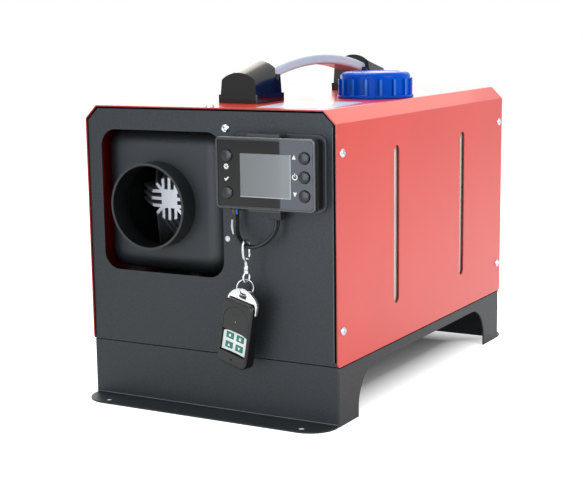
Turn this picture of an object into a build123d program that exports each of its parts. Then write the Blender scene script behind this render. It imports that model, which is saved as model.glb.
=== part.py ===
"""Diesel air heater: an all-in-one case with tank, heater, controller and key fob.

Millimetres. The origin is at floor level, at the centre of the four floor bolts.
+Z is up and the front, with the hot-air collar and the controller, faces -Y.
Depths inside the case are measured from the front face of the front panel.
"""
from build123d import *
from math import cos, pi, radians, sin, sqrt, tan
import os

os.makedirs("parts", exist_ok=True)

# ---------------------------------------------------------------- driving sizes
# sheet-metal case
case_width = 262.0
case_height = 276.6
base_height = 54.0
sheet = 1.2
base_sheet = 1.5
lip_front = 1.5
lip_rear = 2.5
cover_chamfer = 12.2
bend_radius = 2.0
panel_fit = 0.1
panel_seam = 0.8
cut_through = 4.5
seat_gap = 0.1
panel_flange = 16.0
skirt_corner = 4.0

# front and rear openings of the panels
opening_width = 131.5
opening_height = 131.0
opening_corner = 16.0
opening_x = -49.2
opening_drop = 87.3

# sight slots in the cover
slot_width = 11.5
slot_bottom = 89.8
slot_drop = 39.3
slot_front_depth = 119.5
slot_rear_depth = 278.5

# base
base_inset = 1.0
flange_reach = 28.0
flange_corner = 26.0
bolt_spacing_x = 207.0
bolt_reach = 18.0
bolt_hole_radius = 3.5
leg_depth = 41.0
arch_height = 43.0
arch_corner = 34.0
corner_slit = 0.9

# screws
screw_radius = 2.0
screw_length = 6.0
screw_head_radius = 4.0
screw_head_height = 2.3
screw_clearance = 0.1
screw_from_edge = 8.0
screw_drop = 36.6
screw_low = 85.5
panel_screw_x = 20.9
panel_screw_drop = 17.8
rivet_radius = 2.6
rivet_drop = 116.0

# handle
foot_width = 42.0
foot_length = 51.0
handle_length = 278.4
plinth_height = 8.0
hood_width = 38.0
hood_front_edge = 21.5
hood_front_crown = 28.0
hood_rear_edge = 31.0
hood_rear_crown = 37.6
hood_length = 38.0
hood_inset = 1.5
cheek_notch = 2.7
cheek_heel = 1.8
cheek_height = 25.0
grip_width = 27.0
grip_thickness = 10.0
grip_crown = 41.0
grip_rise = 13.0
grip_overlap = 16.0
grip_fit = 0.15
handle_bolt_radius = 2.5
handle_bolt_length = 12.0
handle_bolt_head = 4.2
handle_bolt_pitch = 26.0

# fuel tank and filler
tank_width = 115.4
tank_length = 240.0
tank_drop = 16.6
tank_x = 69.7
tank_depth = 199.0
tank_corner = 14.0
tank_edge = 8.0
tank_wall = 3.0
neck_radius = 28.0
neck_bore = 24.0
neck_stand = 17.4
cap_x = 79.5
cap_depth = 182.0
neck_hole_gap = 2.0
cap_radius = 36.8
cap_body_radius = 33.6
cap_rib_reach = 35.8
cap_height = 24.4
cap_roof = 3.2
cap_edge = 2.9
cap_flange = 2.6
cap_ribs = 16
cap_rib_width = 3.0
cap_clearance = 0.4
gasket_thickness = 1.8
cap_travel = 60.0
running_gap = 0.3
strap_width = 20.0
strap_thickness = 1.0
strap_depth = 246.0
strap_foot = 11.0
spigot_radius = 2.4
spigot_bore = 1.3
spigot_length = 12.0
spigot_x = 28.0
spigot_z = 66.0

# fuel pump
pump_x = -63.0
pump_z = 77.0
pump_depth = 254.0
pump_length = 52.0
pump_radius = 13.0
pump_bore = 5.0
plunger_fit = 0.05
plunger_length = 30.0
plunger_travel = 2.0
nipple_radius = 2.2
nipple_length = 22.0
clamp_wall = 2.4
clamp_width = 16.0
clamp_foot = 30.0
hose_radius = 2.25

# heater
heater_x = -63.0
heater_drop = 88.6
heater_width = 133.0
heater_body_x = -58.5
heater_height = 134.0
heater_corner = 20.0
heater_wall = 2.5
collar_sink = 3.0
collar_radius = 40.0
collar_wall = 2.4
collar_front = -4.0
collar_length = 20.0
cowl_rim_depth = 40.0
cowl_round = 18.0
cowl_face_depth = 16.0
intake_length = 36.0
intake_gap = 24.9
intake_bore = 50.0
grille_rings = 4
grille_bar = 2.2
fin_front_depth = 33.0
fin_slope_depth = 76.0
fin_bright_radius = 20.0
fin_gap = 1.5
fin_thickness = 3.0
fin_pitch = 6.8
hub_size = 17.5
core_radius = 26.0
core_bore = 22.0
core_rear_depth = 228.0
port_depth = 115.0
exhaust_x = -86.0
intake_pipe_x = -40.0
port_radius = 15.0
foot_plate_thickness = 5.0
foot_plate_drop = 3.0
foot_plate_width = 84.0
foot_plate_length = 100.0
foot_plate_depth = 130.0
gasket_sheet = 1.2
inlet_depth = 158.0
inlet_drop = 12.0
inlet_reach = 14.0
burner_radius = 20.0
burner_wall = 1.5
burner_length = 120.0
glow_plug_radius = 2.5
glow_plug_depth = 205.0
exhaust_radius = 12.0
intake_pipe_radius = 12.5
pipe_wall = 1.2
pipe_bottom = 24.0
pipe_end = 20.0
bead_height = 2.5
bead_rise = 1.0
plate_hole_gap = 2.0
stand_width = 96.0
stand_foot = 12.0

# blower
motor_radius = 27.0
motor_gap = 22.0
motor_length = 55.0
motor_plate = 3.0
scroll_radius = 36.0
scroll_length = 19.0
scroll_wall = 2.0
shaft_radius = 2.5
shaft_fit = 0.03
shaft_length = 97.0
shaft_gap = 7.0
air_fan_radius = 53.0
air_fan_hub = 16.0
air_fan_gap = 3.0
air_fan_length = 20.0
air_fan_blades = 7
burner_fan_radius = 30.0
burner_fan_gap = 8.0
burner_fan_length = 10.0
burner_fan_vanes = 10
control_width = 76.0
control_length = 46.0
control_height = 24.0
control_gap = 7.0

# controller
controller_width = 98.0
controller_height = 62.4
controller_x = 70.6
controller_drop = 54.4
controller_reach = 19.5
bezel_depth = 7.0
controller_corner = 4.0
controller_wall = 2.0
cradle_thickness = 2.6
cradle_width = 91.0
cradle_height = 67.5
cradle_x = 76.0
cradle_corner = 8.0
window_width = 92.6
window_height = 57.0
window_thickness = 1.6
window_recess = 0.4
window_rim = 0.9
display_width = 49.5
display_height = 37.4
display_x = 71.4
display_sink = 1.4
button_radius = 5.25
button_gap = 0.25
button_proud = 2.0
button_edge = 1.4
button_travel = 1.0
button_flange = 5.9
left_buttons_x = 33.7
right_buttons_x = 109.5
top_row_rise = 15.0
middle_row_rise = -1.2
bottom_row_rise = -17.2
tab_width = 32.0
tab_x = 67.0
tab_thickness = 2.2
tab_reach = 13.0

# controller cable and connector
cable_radius = 1.6
cable_spacing = 3.6
gland_width = 10.0
gland_depth = 7.0
gland_height = 3.2
connector_width = 12.0
connector_depth = 9.0
connector_height = 6.4

# power inlet gland on the rear panel
gland_x = 96.0
gland_z = 84.0
gland_neck = 8.0
gland_flange = 11.0
gland_bore = 4.0
gland_lip = 2.5
gland_spigot = 9.0

# tapers of the outlet cowl and twist of the air fan
blade_root_angle = 48
blade_root_sink = 1.0
blade_tip_angle = 28
blade_chord = 20.0
blade_thickness = 1.8

# ends of the controller's cable pair
cable_exit_x = 35.6
cable_exit_depth = -8.8
connector_x = 76.8
connector_depth_middle = -9.0

# clasp, ring and key fob
clasp_x = 50.4
clasp_reach = 18.0
clasp_eye_z = 157.3
clasp_eye_width = 9.4
clasp_eye_length = 14.8
clasp_bar = 2.0
clasp_thickness = 3.2
clasp_neck_width = 5.0
clasp_bottom = 137.4
gate_length = 6.2
gate_pivot_z = 150.0
gate_gap = 0.35
swivel_radius = 2.4
swivel_height = 2.6
swivel_pin_radius = 0.9
swivel_pin_fit = 0.08
swivel_head_radius = 1.5
swivel_loop = 3.4
swivel_wire = 0.9
swivel_turn = -8.0
ring_radius = 7.3
ring_wire = 0.9
ring_turn = 32.0
ring_lean = 11.0
link_gap = 0.4
hanger_gap = 1.1
fob_width = 34.5
fob_length = 60.0
fob_thickness = 12.0
fob_corner = 6.0
fob_edge = 2.0
fob_yaw = -12.0
fob_tilt = 0.0
fob_lean = 11.0
hanger_rise = 11.2
hanger_leg = 9.0
hanger_leg_width = 3.0
hanger_thickness = 4.6
hanger_slot_width = 8.4
hanger_slot_height = 4.4
hanger_slot_rise = 4.8
hanger_web = 3.4
hanger_pocket = 13.0
hanger_seat = 0.15
track_width = 30.0
track_depth = 2.1
track_top = 24.6
slide_thickness = 1.1
slide_length = 22.6
slide_crown = 9.6
slide_gap = 0.25
slide_travel = 20.0
track_bottom = track_top - slide_length - slide_travel - 4 * slide_gap
key_width = 8.6
key_height = 5.6
key_pitch_x = 12.2
key_pitch_y = 8.9
key_stand = 0.5
key_sink = 1.2
key_gap = 0.2
key_corner = 0.6
key_travel = 0.4
key_row = -8.0

# ------------------------------------------------------------- derived places
motor_depth = core_rear_depth + motor_gap
control_depth = motor_depth + control_gap
shaft_depth = core_rear_depth + shaft_gap
burner_fan_depth = core_rear_depth + burner_fan_gap
air_fan_depth = motor_depth + motor_length + air_fan_gap
shell_rear_depth = air_fan_depth + air_fan_length
intake_start = shell_rear_depth + seat_gap
intake_end = intake_start + intake_length
base_depth = intake_end + intake_gap
front = -base_depth / 2
rear = base_depth / 2
cover_front = front - lip_front
cover_rear = rear + lip_rear
cover_middle = (cover_front + cover_rear) / 2
inside_half = case_width / 2 - sheet
base_width = case_width - 2 * base_inset
panel_outer = sheet + panel_fit
cap_y = front + cap_depth
tank_y = front + tank_depth
tank_bottom = base_height + running_gap
neck_top = case_height + neck_stand
shell_front_depth = cowl_rim_depth + seat_gap
opening_z = case_height - opening_drop
slot_top = case_height - slot_drop
screw_high = case_height - screw_drop
panel_screw_z = case_height - panel_screw_drop
rivet_z = case_height - rivet_drop
tank_top = case_height - tank_drop
heater_z = case_height - heater_drop
collar_z = heater_z - collar_sink
foot_plate_bottom = heater_z - heater_height / 2 - foot_plate_drop
controller_z = case_height - controller_drop
display_z = controller_z - display_sink
top_row_z = controller_z + top_row_rise
middle_row_z = controller_z + middle_row_rise
bottom_row_z = controller_z + bottom_row_rise


def facing_front(depth):
    """Plane across the case: sketch x is +X, sketch y is +Z, its normal points to the front."""
    return Plane.XZ.offset(-(front + depth))


def facing_side(x):
    """Plane along the case: sketch x is +Y, sketch y is +Z, its normal points to +X."""
    return Plane.YZ.offset(x)


def level(z):
    """Horizontal plane at height z."""
    return Plane.XY.offset(z)


def case_section(inset, bottom):
    """Corners of the case's cross-section, set in from the outside of the cover."""
    half = case_width / 2 - inset
    top = case_height - inset
    cut = cover_chamfer - inset * (2 - sqrt(2))
    return [
        (-half, bottom),
        (-half, top - cut),
        (-half + cut, top),
        (half - cut, top),
        (half, top - cut),
        (half, bottom),
    ]


def corner_radii(points):
    """Fillet radii of a route: 0.45 of the shorter run over the tangent of half the turn."""
    radii = []
    for before, corner, after in zip(points, points[1:], points[2:]):
        run_in = Vector(*corner) - Vector(*before)
        run_out = Vector(*after) - Vector(*corner)
        turn = radians(run_in.get_angle(run_out))
        radii.append(0.45 * min(run_in.length, run_out.length) / tan(turn / 2))
    return radii


def at_depth(points):
    """Route points given as x, depth, z, moved to the part's frame."""
    return [(x, front + depth, z) for x, depth, z in points]


# ---------------------------------------------------------------- red cover
screw_depths = [screw_from_edge, base_depth - screw_from_edge]
side_screw_spots = [(front + d, z) for d in screw_depths for z in (screw_low, screw_high)]
top_screw_spots = [(0, front + d) for d in screw_depths]
handle_reach = handle_length / 2 - foot_length / 2
handle_bolt_spots = [
    (0, cover_middle + side * handle_reach + step * handle_bolt_pitch / 2)
    for side in (-1, 1)
    for step in (-1, 1)
]

with BuildPart() as red_shell:
    with BuildSketch(facing_front(base_depth + lip_rear)) as cover_outside:
        with BuildLine():
            Polyline(*case_section(0, base_height), close=True)
        make_face()
        fillet(cover_outside.vertices().group_by(Axis.Y)[1:], bend_radius)
    extrude(amount=base_depth + lip_front + lip_rear)
    with BuildSketch(facing_front(base_depth + lip_rear)):
        with BuildLine():
            Polyline(*case_section(sheet, base_height), close=True)
        make_face()
    extrude(amount=base_depth + lip_front + lip_rear, mode=Mode.SUBTRACT)
    skirt_edges = red_shell.edges().filter_by(Axis.X).group_by(Axis.Z)[0]
    fillet(skirt_edges, skirt_corner)
    with BuildSketch(Plane.YZ):
        slot_middle = (slot_bottom + slot_top) / 2
        with Locations((front + slot_front_depth, slot_middle), (front + slot_rear_depth, slot_middle)):
            SlotOverall(slot_top - slot_bottom, slot_width, rotation=90)
        with Locations(*side_screw_spots):
            Circle(screw_radius + screw_clearance)
    extrude(amount=case_width, both=True, mode=Mode.SUBTRACT)
    with BuildSketch(level(case_height)):
        with Locations((cap_x, cap_y)):
            Circle(neck_radius + neck_hole_gap)
        with Locations(*handle_bolt_spots):
            Circle(handle_bolt_radius + screw_clearance)
        with Locations(*top_screw_spots):
            Circle(screw_radius + screw_clearance)
    extrude(amount=-2 * sheet, mode=Mode.SUBTRACT)
red_shell.part.label = "red_shell"
export_step(red_shell.part, "parts/red_shell.step")


# ---------------------------------------------------------------- end panels
def panel_tray(tray_depth, hollow_depth):
    """A bent-sheet panel: a plate with a flange turned in along its whole edge."""
    panel_bottom = base_height + panel_seam
    with BuildPart() as tray:
        with BuildSketch(facing_front(tray_depth + panel_flange)):
            with BuildLine():
                Polyline(*case_section(panel_outer, panel_bottom), close=True)
            make_face()
        extrude(amount=panel_flange)
        with BuildSketch(facing_front(hollow_depth + panel_flange - sheet)):
            with BuildLine():
                Polyline(*case_section(panel_outer + sheet, panel_bottom + sheet), close=True)
            make_face()
        extrude(amount=panel_flange - sheet, mode=Mode.SUBTRACT)
        with BuildSketch(Plane.YZ):
            with Locations(*side_screw_spots):
                Circle(screw_radius + screw_clearance)
        extrude(amount=case_width, both=True, mode=Mode.SUBTRACT)
        with BuildSketch(level(case_height)):
            with Locations(*top_screw_spots):
                Circle(screw_radius + screw_clearance)
        extrude(amount=-cut_through, mode=Mode.SUBTRACT)
    return tray.part


with BuildPart() as front_panel:
    add(panel_tray(0, sheet))
    with BuildSketch(facing_front(sheet)):
        with Locations((opening_x, opening_z)):
            RectangleRounded(opening_width, opening_height, opening_corner)
        with Locations((panel_screw_x, panel_screw_z)):
            Circle(screw_radius + screw_clearance)
        with Locations((panel_screw_x, rivet_z)):
            Circle(rivet_radius / 2)
    extrude(amount=sheet, mode=Mode.SUBTRACT)
front_panel.part.label = "front_panel"
export_step(front_panel.part, "parts/front_panel.step")


with BuildPart() as rear_panel:
    add(panel_tray(base_depth - panel_flange, base_depth - panel_flange))
    with BuildSketch(facing_front(base_depth)):
        with Locations((opening_x, opening_z)):
            RectangleRounded(opening_width, opening_height, opening_corner)
        with Locations((gland_x, gland_z)):
            Circle(gland_neck + seat_gap)
    extrude(amount=sheet, mode=Mode.SUBTRACT)
rear_panel.part.label = "rear_panel"
export_step(rear_panel.part, "parts/rear_panel.step")


# ---------------------------------------------------------------- base
bolt_spacing_y = base_depth + 2 * bolt_reach
foot_plate_x = (exhaust_x + intake_pipe_x) / 2
pipe_spots = [(exhaust_x, front + port_depth), (intake_pipe_x, front + port_depth)]

with BuildPart() as base_frame:
    with BuildSketch(Plane.XY):
        Rectangle(base_width, base_depth)
    extrude(amount=base_height)
    with BuildSketch(Plane.XY):
        Rectangle(base_width - 2 * base_sheet, base_depth - 2 * base_sheet)
    extrude(amount=base_height - base_sheet, mode=Mode.SUBTRACT)
    with BuildSketch(Plane.YZ) as arch:
        Rectangle(base_depth - 2 * leg_depth, arch_height, align=(Align.CENTER, Align.MIN))
        fillet(arch.vertices().group_by(Axis.Y)[-1], arch_corner)
    extrude(amount=base_width, both=True, mode=Mode.SUBTRACT)
    for end in (-1, 1):
        with BuildSketch(Plane.XY) as flange:
            with Locations((0, end * (base_depth + flange_reach) / 2)):
                Rectangle(base_width, flange_reach)
            outer_corners = flange.vertices().sort_by(Axis.Y)
            fillet(outer_corners[:2] if end < 0 else outer_corners[2:], flange_corner)
            with Locations((0, end * bolt_spacing_y / 2)):
                with GridLocations(bolt_spacing_x, 1, 2, 1):
                    Circle(bolt_hole_radius, mode=Mode.SUBTRACT)
        extrude(amount=base_sheet)
        slit_y = end * (base_depth / 2 - base_sheet - corner_slit / 2)
        with BuildSketch(Plane.XY):
            with Locations((0, slit_y)):
                Rectangle(base_width + base_sheet, corner_slit)
        extrude(amount=base_height - cut_through, mode=Mode.SUBTRACT)
    with BuildSketch(level(base_height)):
        with Locations(*pipe_spots):
            Circle(intake_pipe_radius + plate_hole_gap)
    extrude(amount=-base_sheet, mode=Mode.SUBTRACT)
base_frame.part.label = "base_frame"
export_step(base_frame.part, "parts/base_frame.step")


# ---------------------------------------------------------------- screws and rivet
with BuildPart() as pan_screw:
    with BuildSketch(Plane.XZ):
        with BuildLine():
            Polyline(
                (0, -screw_length),
                (screw_radius, -screw_length),
                (screw_radius, 0),
                (screw_head_radius, 0),
                (screw_head_radius, screw_head_height / 3),
            )
            crown = (0, screw_head_height)
            shoulder = (screw_head_radius, screw_head_height / 3)
            TangentArc(crown, shoulder, tangent=(1, 0))
            Line(crown, (0, -screw_length))
        make_face()
    revolve(axis=Axis.Z)
    with BuildSketch(level(screw_head_height)):
        Rectangle(screw_head_radius, screw_radius / 2)
        Rectangle(screw_radius / 2, screw_head_radius)
    extrude(amount=-screw_head_height / 2, mode=Mode.SUBTRACT)

side_seats = [
    Plane((side * (case_width / 2 + seat_gap), y, z), x_dir=(0, 1, 0), z_dir=(side, 0, 0))
    for side in (-1, 1)
    for y, z in side_screw_spots
]
top_seats = [Plane((x, y, case_height + seat_gap)) for x, y in top_screw_spots]
panel_seat = Plane((panel_screw_x, front - seat_gap, panel_screw_z), z_dir=(0, -1, 0))

with BuildPart() as case_screws:
    for seat in side_seats + top_seats + [panel_seat]:
        add(seat.location * pan_screw.part)
case_screws.part.label = "case_screws"
export_step(case_screws.part, "parts/case_screws.step")

with BuildPart() as panel_rivet:
    with BuildSketch(facing_front(-seat_gap)):
        with Locations((panel_screw_x, rivet_z)):
            Circle(rivet_radius)
    extrude(amount=rivet_radius / 2)
    fillet(panel_rivet.edges().group_by(Axis.Y)[0], rivet_radius / 3)
    with BuildSketch(facing_front(-seat_gap)):
        with Locations((panel_screw_x, rivet_z)):
            Circle(rivet_radius / 2 - seat_gap)
    extrude(amount=-screw_length)
panel_rivet.part.label = "panel_rivet"
export_step(panel_rivet.part, "parts/panel_rivet.step")

gland_groove = sheet + 2 * seat_gap

with BuildPart() as power_gland:
    with BuildSketch(facing_front(base_depth + seat_gap + gland_spigot)):
        with Locations((gland_x, gland_z)):
            Circle((gland_neck + gland_bore) / 2)
    extrude(amount=gland_spigot)
    with BuildSketch(facing_front(base_depth + seat_gap + gland_lip)):
        with Locations((gland_x, gland_z)):
            Circle(gland_flange)
    extrude(amount=2 * gland_lip + gland_groove)
    with BuildSketch(facing_front(base_depth + seat_gap)):
        with Locations((gland_x, gland_z)):
            Circle(gland_flange)
            Circle(gland_neck, mode=Mode.SUBTRACT)
    extrude(amount=gland_groove, mode=Mode.SUBTRACT)
    with BuildSketch(facing_front(base_depth + seat_gap + gland_spigot)):
        with Locations((gland_x, gland_z)):
            Circle(gland_bore)
    extrude(amount=gland_spigot + gland_groove + 2 * gland_lip, mode=Mode.SUBTRACT)
power_gland.part.label = "power_gland"
export_step(power_gland.part, "parts/power_gland.step")


# ---------------------------------------------------------------- handle
grip_half = handle_length / 2 - foot_length + grip_overlap
grip_foot = grip_crown - grip_rise


def grip_outline(fit):
    """Side view of the arched grip, grown by fit all round: along the case and up."""
    top_mid = (cover_middle, case_height + grip_crown + fit)
    low_mid = (cover_middle, case_height + grip_crown - grip_thickness - fit)
    reach = grip_half + fit
    top_ends = [(cover_middle + side * reach, case_height + grip_foot + fit) for side in (-1, 1)]
    low_foot = case_height + grip_foot - grip_thickness - fit
    low_ends = [(cover_middle + side * reach, low_foot) for side in (-1, 1)]
    with BuildLine() as outline:
        ThreePointArc(top_ends[0], top_mid, top_ends[1])
        Line(top_ends[1], low_ends[1])
        ThreePointArc(low_ends[1], low_mid, low_ends[0])
        Line(low_ends[0], top_ends[0])
    return outline.line


with BuildPart() as handle_grip:
    with BuildSketch(facing_side(0)):
        add(grip_outline(0))
        make_face()
    extrude(amount=grip_width / 2, both=True)
    long_edges = handle_grip.edges().filter_by(GeomType.CIRCLE)
    fillet(long_edges, grip_thickness / 4)
handle_grip.part.label = "handle_grip"
export_step(handle_grip.part, "parts/handle_grip.step")


def hood_section(depth, edge, crown):
    """Cross-section of the hood: straight sides under an arched roof."""
    with BuildSketch(facing_front(depth)) as section:
        low = case_height + seat_gap + plinth_height
        half = hood_width / 2
        shoulder = half - hood_inset
        with BuildLine():
            Polyline(
                (-shoulder, case_height + edge),
                (-half, low),
                (half, low),
                (shoulder, case_height + edge),
            )
            ThreePointArc(
                (shoulder, case_height + edge), (0, case_height + crown), (-shoulder, case_height + edge)
            )
        make_face()
    return section.sketch


foot_front_depth = cover_middle - front - handle_length / 2
hood_start = foot_front_depth + hood_inset
cheek_start = hood_start + hood_length

with BuildPart() as handle_front_mount:
    with BuildSketch(level(case_height + seat_gap)):
        with Locations((0, front + foot_front_depth + foot_length / 2)):
            RectangleRounded(foot_width, foot_length, hood_inset)
    extrude(amount=plinth_height)
    add(loft([
        hood_section(hood_start, hood_front_edge, hood_front_crown),
        hood_section(cheek_start, hood_rear_edge, hood_rear_crown),
    ], mode=Mode.PRIVATE))
    with BuildSketch(facing_side(0)):
        with BuildLine():
            low = case_height + plinth_height
            foot_end = front + foot_front_depth + foot_length
            notch_depth = front + cheek_start + cheek_notch
            Polyline(
                (front + cheek_start - hood_inset, low),
                (front + cheek_start - hood_inset, case_height + cheek_height - 2 * hood_inset),
                (notch_depth, case_height + cheek_height - 4 * hood_inset),
                (notch_depth + 3 * hood_inset, case_height + cheek_height),
                (foot_end - cheek_heel, low),
                close=True,
            )
        make_face()
    extrude(amount=hood_width / 2, both=True)
    with BuildSketch(facing_side(0)):
        add(grip_outline(grip_fit))
        make_face()
    extrude(amount=grip_width / 2 + grip_fit, both=True, mode=Mode.SUBTRACT)
    with BuildSketch(level(case_height)):
        with Locations(*handle_bolt_spots[:2]):
            Circle(handle_bolt_radius + screw_clearance)
    extrude(amount=handle_bolt_length, mode=Mode.SUBTRACT)
handle_front_mount.part.label = "handle_front_mount"
export_step(handle_front_mount.part, "parts/handle_front_mount.step")

with BuildPart() as handle_rear_mount:
    add(mirror(handle_front_mount.part, about=Plane.XZ.offset(-cover_middle), mode=Mode.PRIVATE))
handle_rear_mount.part.label = "handle_rear_mount"
export_step(handle_rear_mount.part, "parts/handle_rear_mount.step")

with BuildPart() as handle_bolts:
    under_cover = case_height - sheet - seat_gap
    with BuildSketch(level(under_cover)):
        with Locations(*handle_bolt_spots):
            RegularPolygon(handle_bolt_head, 6)
    extrude(amount=-handle_bolt_radius)
    with BuildSketch(level(under_cover)):
        with Locations(*handle_bolt_spots):
            Circle(handle_bolt_radius)
    extrude(amount=handle_bolt_length)
handle_bolts.part.label = "handle_bolts"
export_step(handle_bolts.part, "parts/handle_bolts.step")


# ---------------------------------------------------------------- fuel tank and filler
tank_height = tank_top - tank_bottom
tank_rear = tank_y + tank_length / 2

with BuildPart() as fuel_tank:
    with BuildSketch(level(tank_bottom)):
        with Locations((tank_x, tank_y)):
            RectangleRounded(tank_width, tank_length, tank_corner)
    extrude(amount=tank_height)
    fillet(fuel_tank.faces().sort_by(Axis.Z)[-1].edges(), tank_edge)
    fillet(fuel_tank.faces().sort_by(Axis.Z)[0].edges(), tank_edge / 2)
    with BuildSketch(level(tank_bottom + tank_wall)):
        with Locations((tank_x, tank_y)):
            RectangleRounded(tank_width - 2 * tank_wall, tank_length - 2 * tank_wall, tank_corner - tank_wall)
    extrude(amount=tank_height - 2 * tank_wall, mode=Mode.SUBTRACT)
    with BuildSketch(level(tank_top - tank_wall)):
        with Locations((cap_x, cap_y)):
            Circle(neck_radius)
    extrude(amount=neck_top - tank_top + tank_wall)
    with BuildSketch(level(tank_top - 2 * tank_wall)):
        with Locations((cap_x, cap_y)):
            Circle(neck_bore)
    extrude(amount=neck_top - tank_top + 2 * tank_wall, mode=Mode.SUBTRACT)
    with BuildSketch(Plane.XZ.offset(-(tank_rear + spigot_length))):
        with Locations((spigot_x, spigot_z)):
            Circle(spigot_radius)
    extrude(amount=spigot_length + tank_wall / 2)
    with BuildSketch(Plane.XZ.offset(-(tank_rear + spigot_length))):
        with Locations((spigot_x, spigot_z)):
            Circle(spigot_bore)
    extrude(amount=spigot_length + 2 * tank_wall, mode=Mode.SUBTRACT)
fuel_tank.part.label = "fuel_tank"
export_step(fuel_tank.part, "parts/fuel_tank.step")

gasket_bottom = neck_top + running_gap
roof_underside = gasket_bottom + gasket_thickness + running_gap
cap_bottom = case_height + running_gap
skirt_radius = neck_radius + cap_clearance

with BuildPart() as cap_gasket:
    with BuildSketch(level(gasket_bottom)):
        with Locations((cap_x, cap_y)):
            Circle(neck_radius)
            Circle(neck_bore, mode=Mode.SUBTRACT)
    extrude(amount=gasket_thickness)
cap_gasket.part.label = "cap_gasket"
export_step(cap_gasket.part, "parts/cap_gasket.step")

with BuildPart() as filler_cap:
    with BuildSketch(level(cap_bottom)):
        with Locations((cap_x, cap_y)):
            Circle(cap_body_radius)
    extrude(amount=cap_height)
    with BuildSketch(level(cap_bottom)):
        with Locations((cap_x, cap_y)):
            with PolarLocations(cap_rib_reach - cap_rib_width / 2, cap_ribs, start_angle=180 / cap_ribs):
                Rectangle(cap_rib_width, cap_rib_width)
    extrude(amount=cap_height - cap_roof)
    fillet(filler_cap.faces().sort_by(Axis.Z)[-1].edges(), cap_edge)
    with BuildSketch(level(cap_bottom)):
        with Locations((cap_x, cap_y)):
            Circle(cap_radius)
    extrude(amount=cap_flange)
    with BuildSketch(level(cap_bottom)):
        with Locations((cap_x, cap_y)):
            Circle(skirt_radius)
    extrude(amount=roof_underside - cap_bottom, mode=Mode.SUBTRACT)
filler_cap.part.label = "filler_cap"
export_step(filler_cap.part, "parts/filler_cap.step")

with BuildPart() as tank_strap:
    strap_y = front + strap_depth
    strap_half = tank_width / 2 + running_gap
    strap_roof = tank_top + running_gap
    with BuildSketch(Plane.XZ.offset(-(strap_y + strap_width / 2))) as strap_hoop:
        with Locations((tank_x, base_height + seat_gap)):
            Rectangle(
                2 * (strap_half + strap_thickness),
                strap_roof + strap_thickness - base_height - seat_gap,
                align=(Align.CENTER, Align.MIN),
            )
        fillet(strap_hoop.vertices().group_by(Axis.Y)[-1], tank_edge + strap_thickness)
        with BuildSketch(mode=Mode.PRIVATE) as strap_inside:
            with Locations((tank_x, base_height + seat_gap)):
                Rectangle(
                    2 * strap_half,
                    strap_roof - base_height - seat_gap,
                    align=(Align.CENTER, Align.MIN),
                )
            fillet(strap_inside.vertices().group_by(Axis.Y)[-1], tank_edge)
        add(strap_inside.sketch_local, mode=Mode.SUBTRACT)
        with Locations((tank_x - strap_half - strap_thickness, base_height + seat_gap)):
            Rectangle(strap_foot, strap_thickness, align=(Align.MAX, Align.MIN))
    extrude(amount=strap_width)
tank_strap.part.label = "tank_strap"
export_step(tank_strap.part, "parts/tank_strap.step")


# ---------------------------------------------------------------- fuel pump and hoses
pump_front = pump_depth
pump_rear = pump_depth + pump_length
plunger_depth = pump_depth + (pump_length - plunger_length - plunger_travel) / 2

with BuildPart() as fuel_pump:
    with BuildSketch(facing_front(pump_rear)):
        with Locations((pump_x, pump_z)):
            Circle(pump_radius)
    extrude(amount=pump_length)
    fillet(fuel_pump.edges().filter_by(GeomType.CIRCLE), clamp_wall)
    with BuildSketch(facing_front(pump_rear + nipple_length)):
        with Locations((pump_x, pump_z)):
            Circle(nipple_radius)
    extrude(amount=pump_length + 2 * nipple_length)
    with BuildSketch(facing_front(plunger_depth + plunger_length + plunger_travel + running_gap)):
        with Locations((pump_x, pump_z)):
            Circle(pump_bore)
    extrude(amount=plunger_length + plunger_travel + 2 * running_gap, mode=Mode.SUBTRACT)
    with BuildSketch(facing_front(pump_rear + nipple_length)):
        with Locations((pump_x, pump_z)):
            Circle(nipple_radius / 2)
    extrude(amount=pump_length + 2 * nipple_length, mode=Mode.SUBTRACT)
fuel_pump.part.label = "fuel_pump"
export_step(fuel_pump.part, "parts/fuel_pump.step")

with BuildPart() as pump_plunger:
    with BuildSketch(facing_front(plunger_depth + plunger_length)):
        with Locations((pump_x, pump_z)):
            Circle(pump_bore - plunger_fit)
            Circle(nipple_radius / 2, mode=Mode.SUBTRACT)
    extrude(amount=plunger_length)
pump_plunger.part.label = "pump_plunger"
export_step(pump_plunger.part, "parts/pump_plunger.step")

with BuildPart() as pump_clamp:
    clamp_depth = (pump_front + pump_rear + clamp_width) / 2
    clamp_low = base_height + seat_gap
    with BuildSketch(facing_front(clamp_depth)):
        with Locations((pump_x, clamp_low)):
            Rectangle(clamp_foot, clamp_wall, align=(Align.CENTER, Align.MIN))
            Rectangle(2 * clamp_wall, pump_z - clamp_low, align=(Align.CENTER, Align.MIN))
        with Locations((pump_x, pump_z)):
            Circle(pump_radius + seat_gap + clamp_wall)
            Circle(pump_radius + seat_gap, mode=Mode.SUBTRACT)
    extrude(amount=clamp_width)
pump_clamp.part.label = "pump_clamp"
export_step(pump_clamp.part, "parts/pump_clamp.step")

inlet_z = foot_plate_bottom - inlet_drop
suction_route = at_depth([
    (spigot_x, tank_depth + tank_length / 2 + spigot_length + seat_gap, spigot_z),
    (spigot_x, tank_depth + tank_length / 2 + spigot_length + 21, spigot_z),
    (8, 368, 70),
    (-22, 372, 76),
    (-49, 364, 77.5),
    (pump_x, 345, pump_z),
    (pump_x, pump_rear + nipple_length + seat_gap, pump_z),
])
delivery_route = at_depth([
    (pump_x, pump_front - nipple_length - seat_gap, pump_z),
    (pump_x, 213, pump_z),
    (pump_x, 192, inlet_z),
    (pump_x, inlet_depth + inlet_reach + seat_gap, inlet_z),
])


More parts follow.
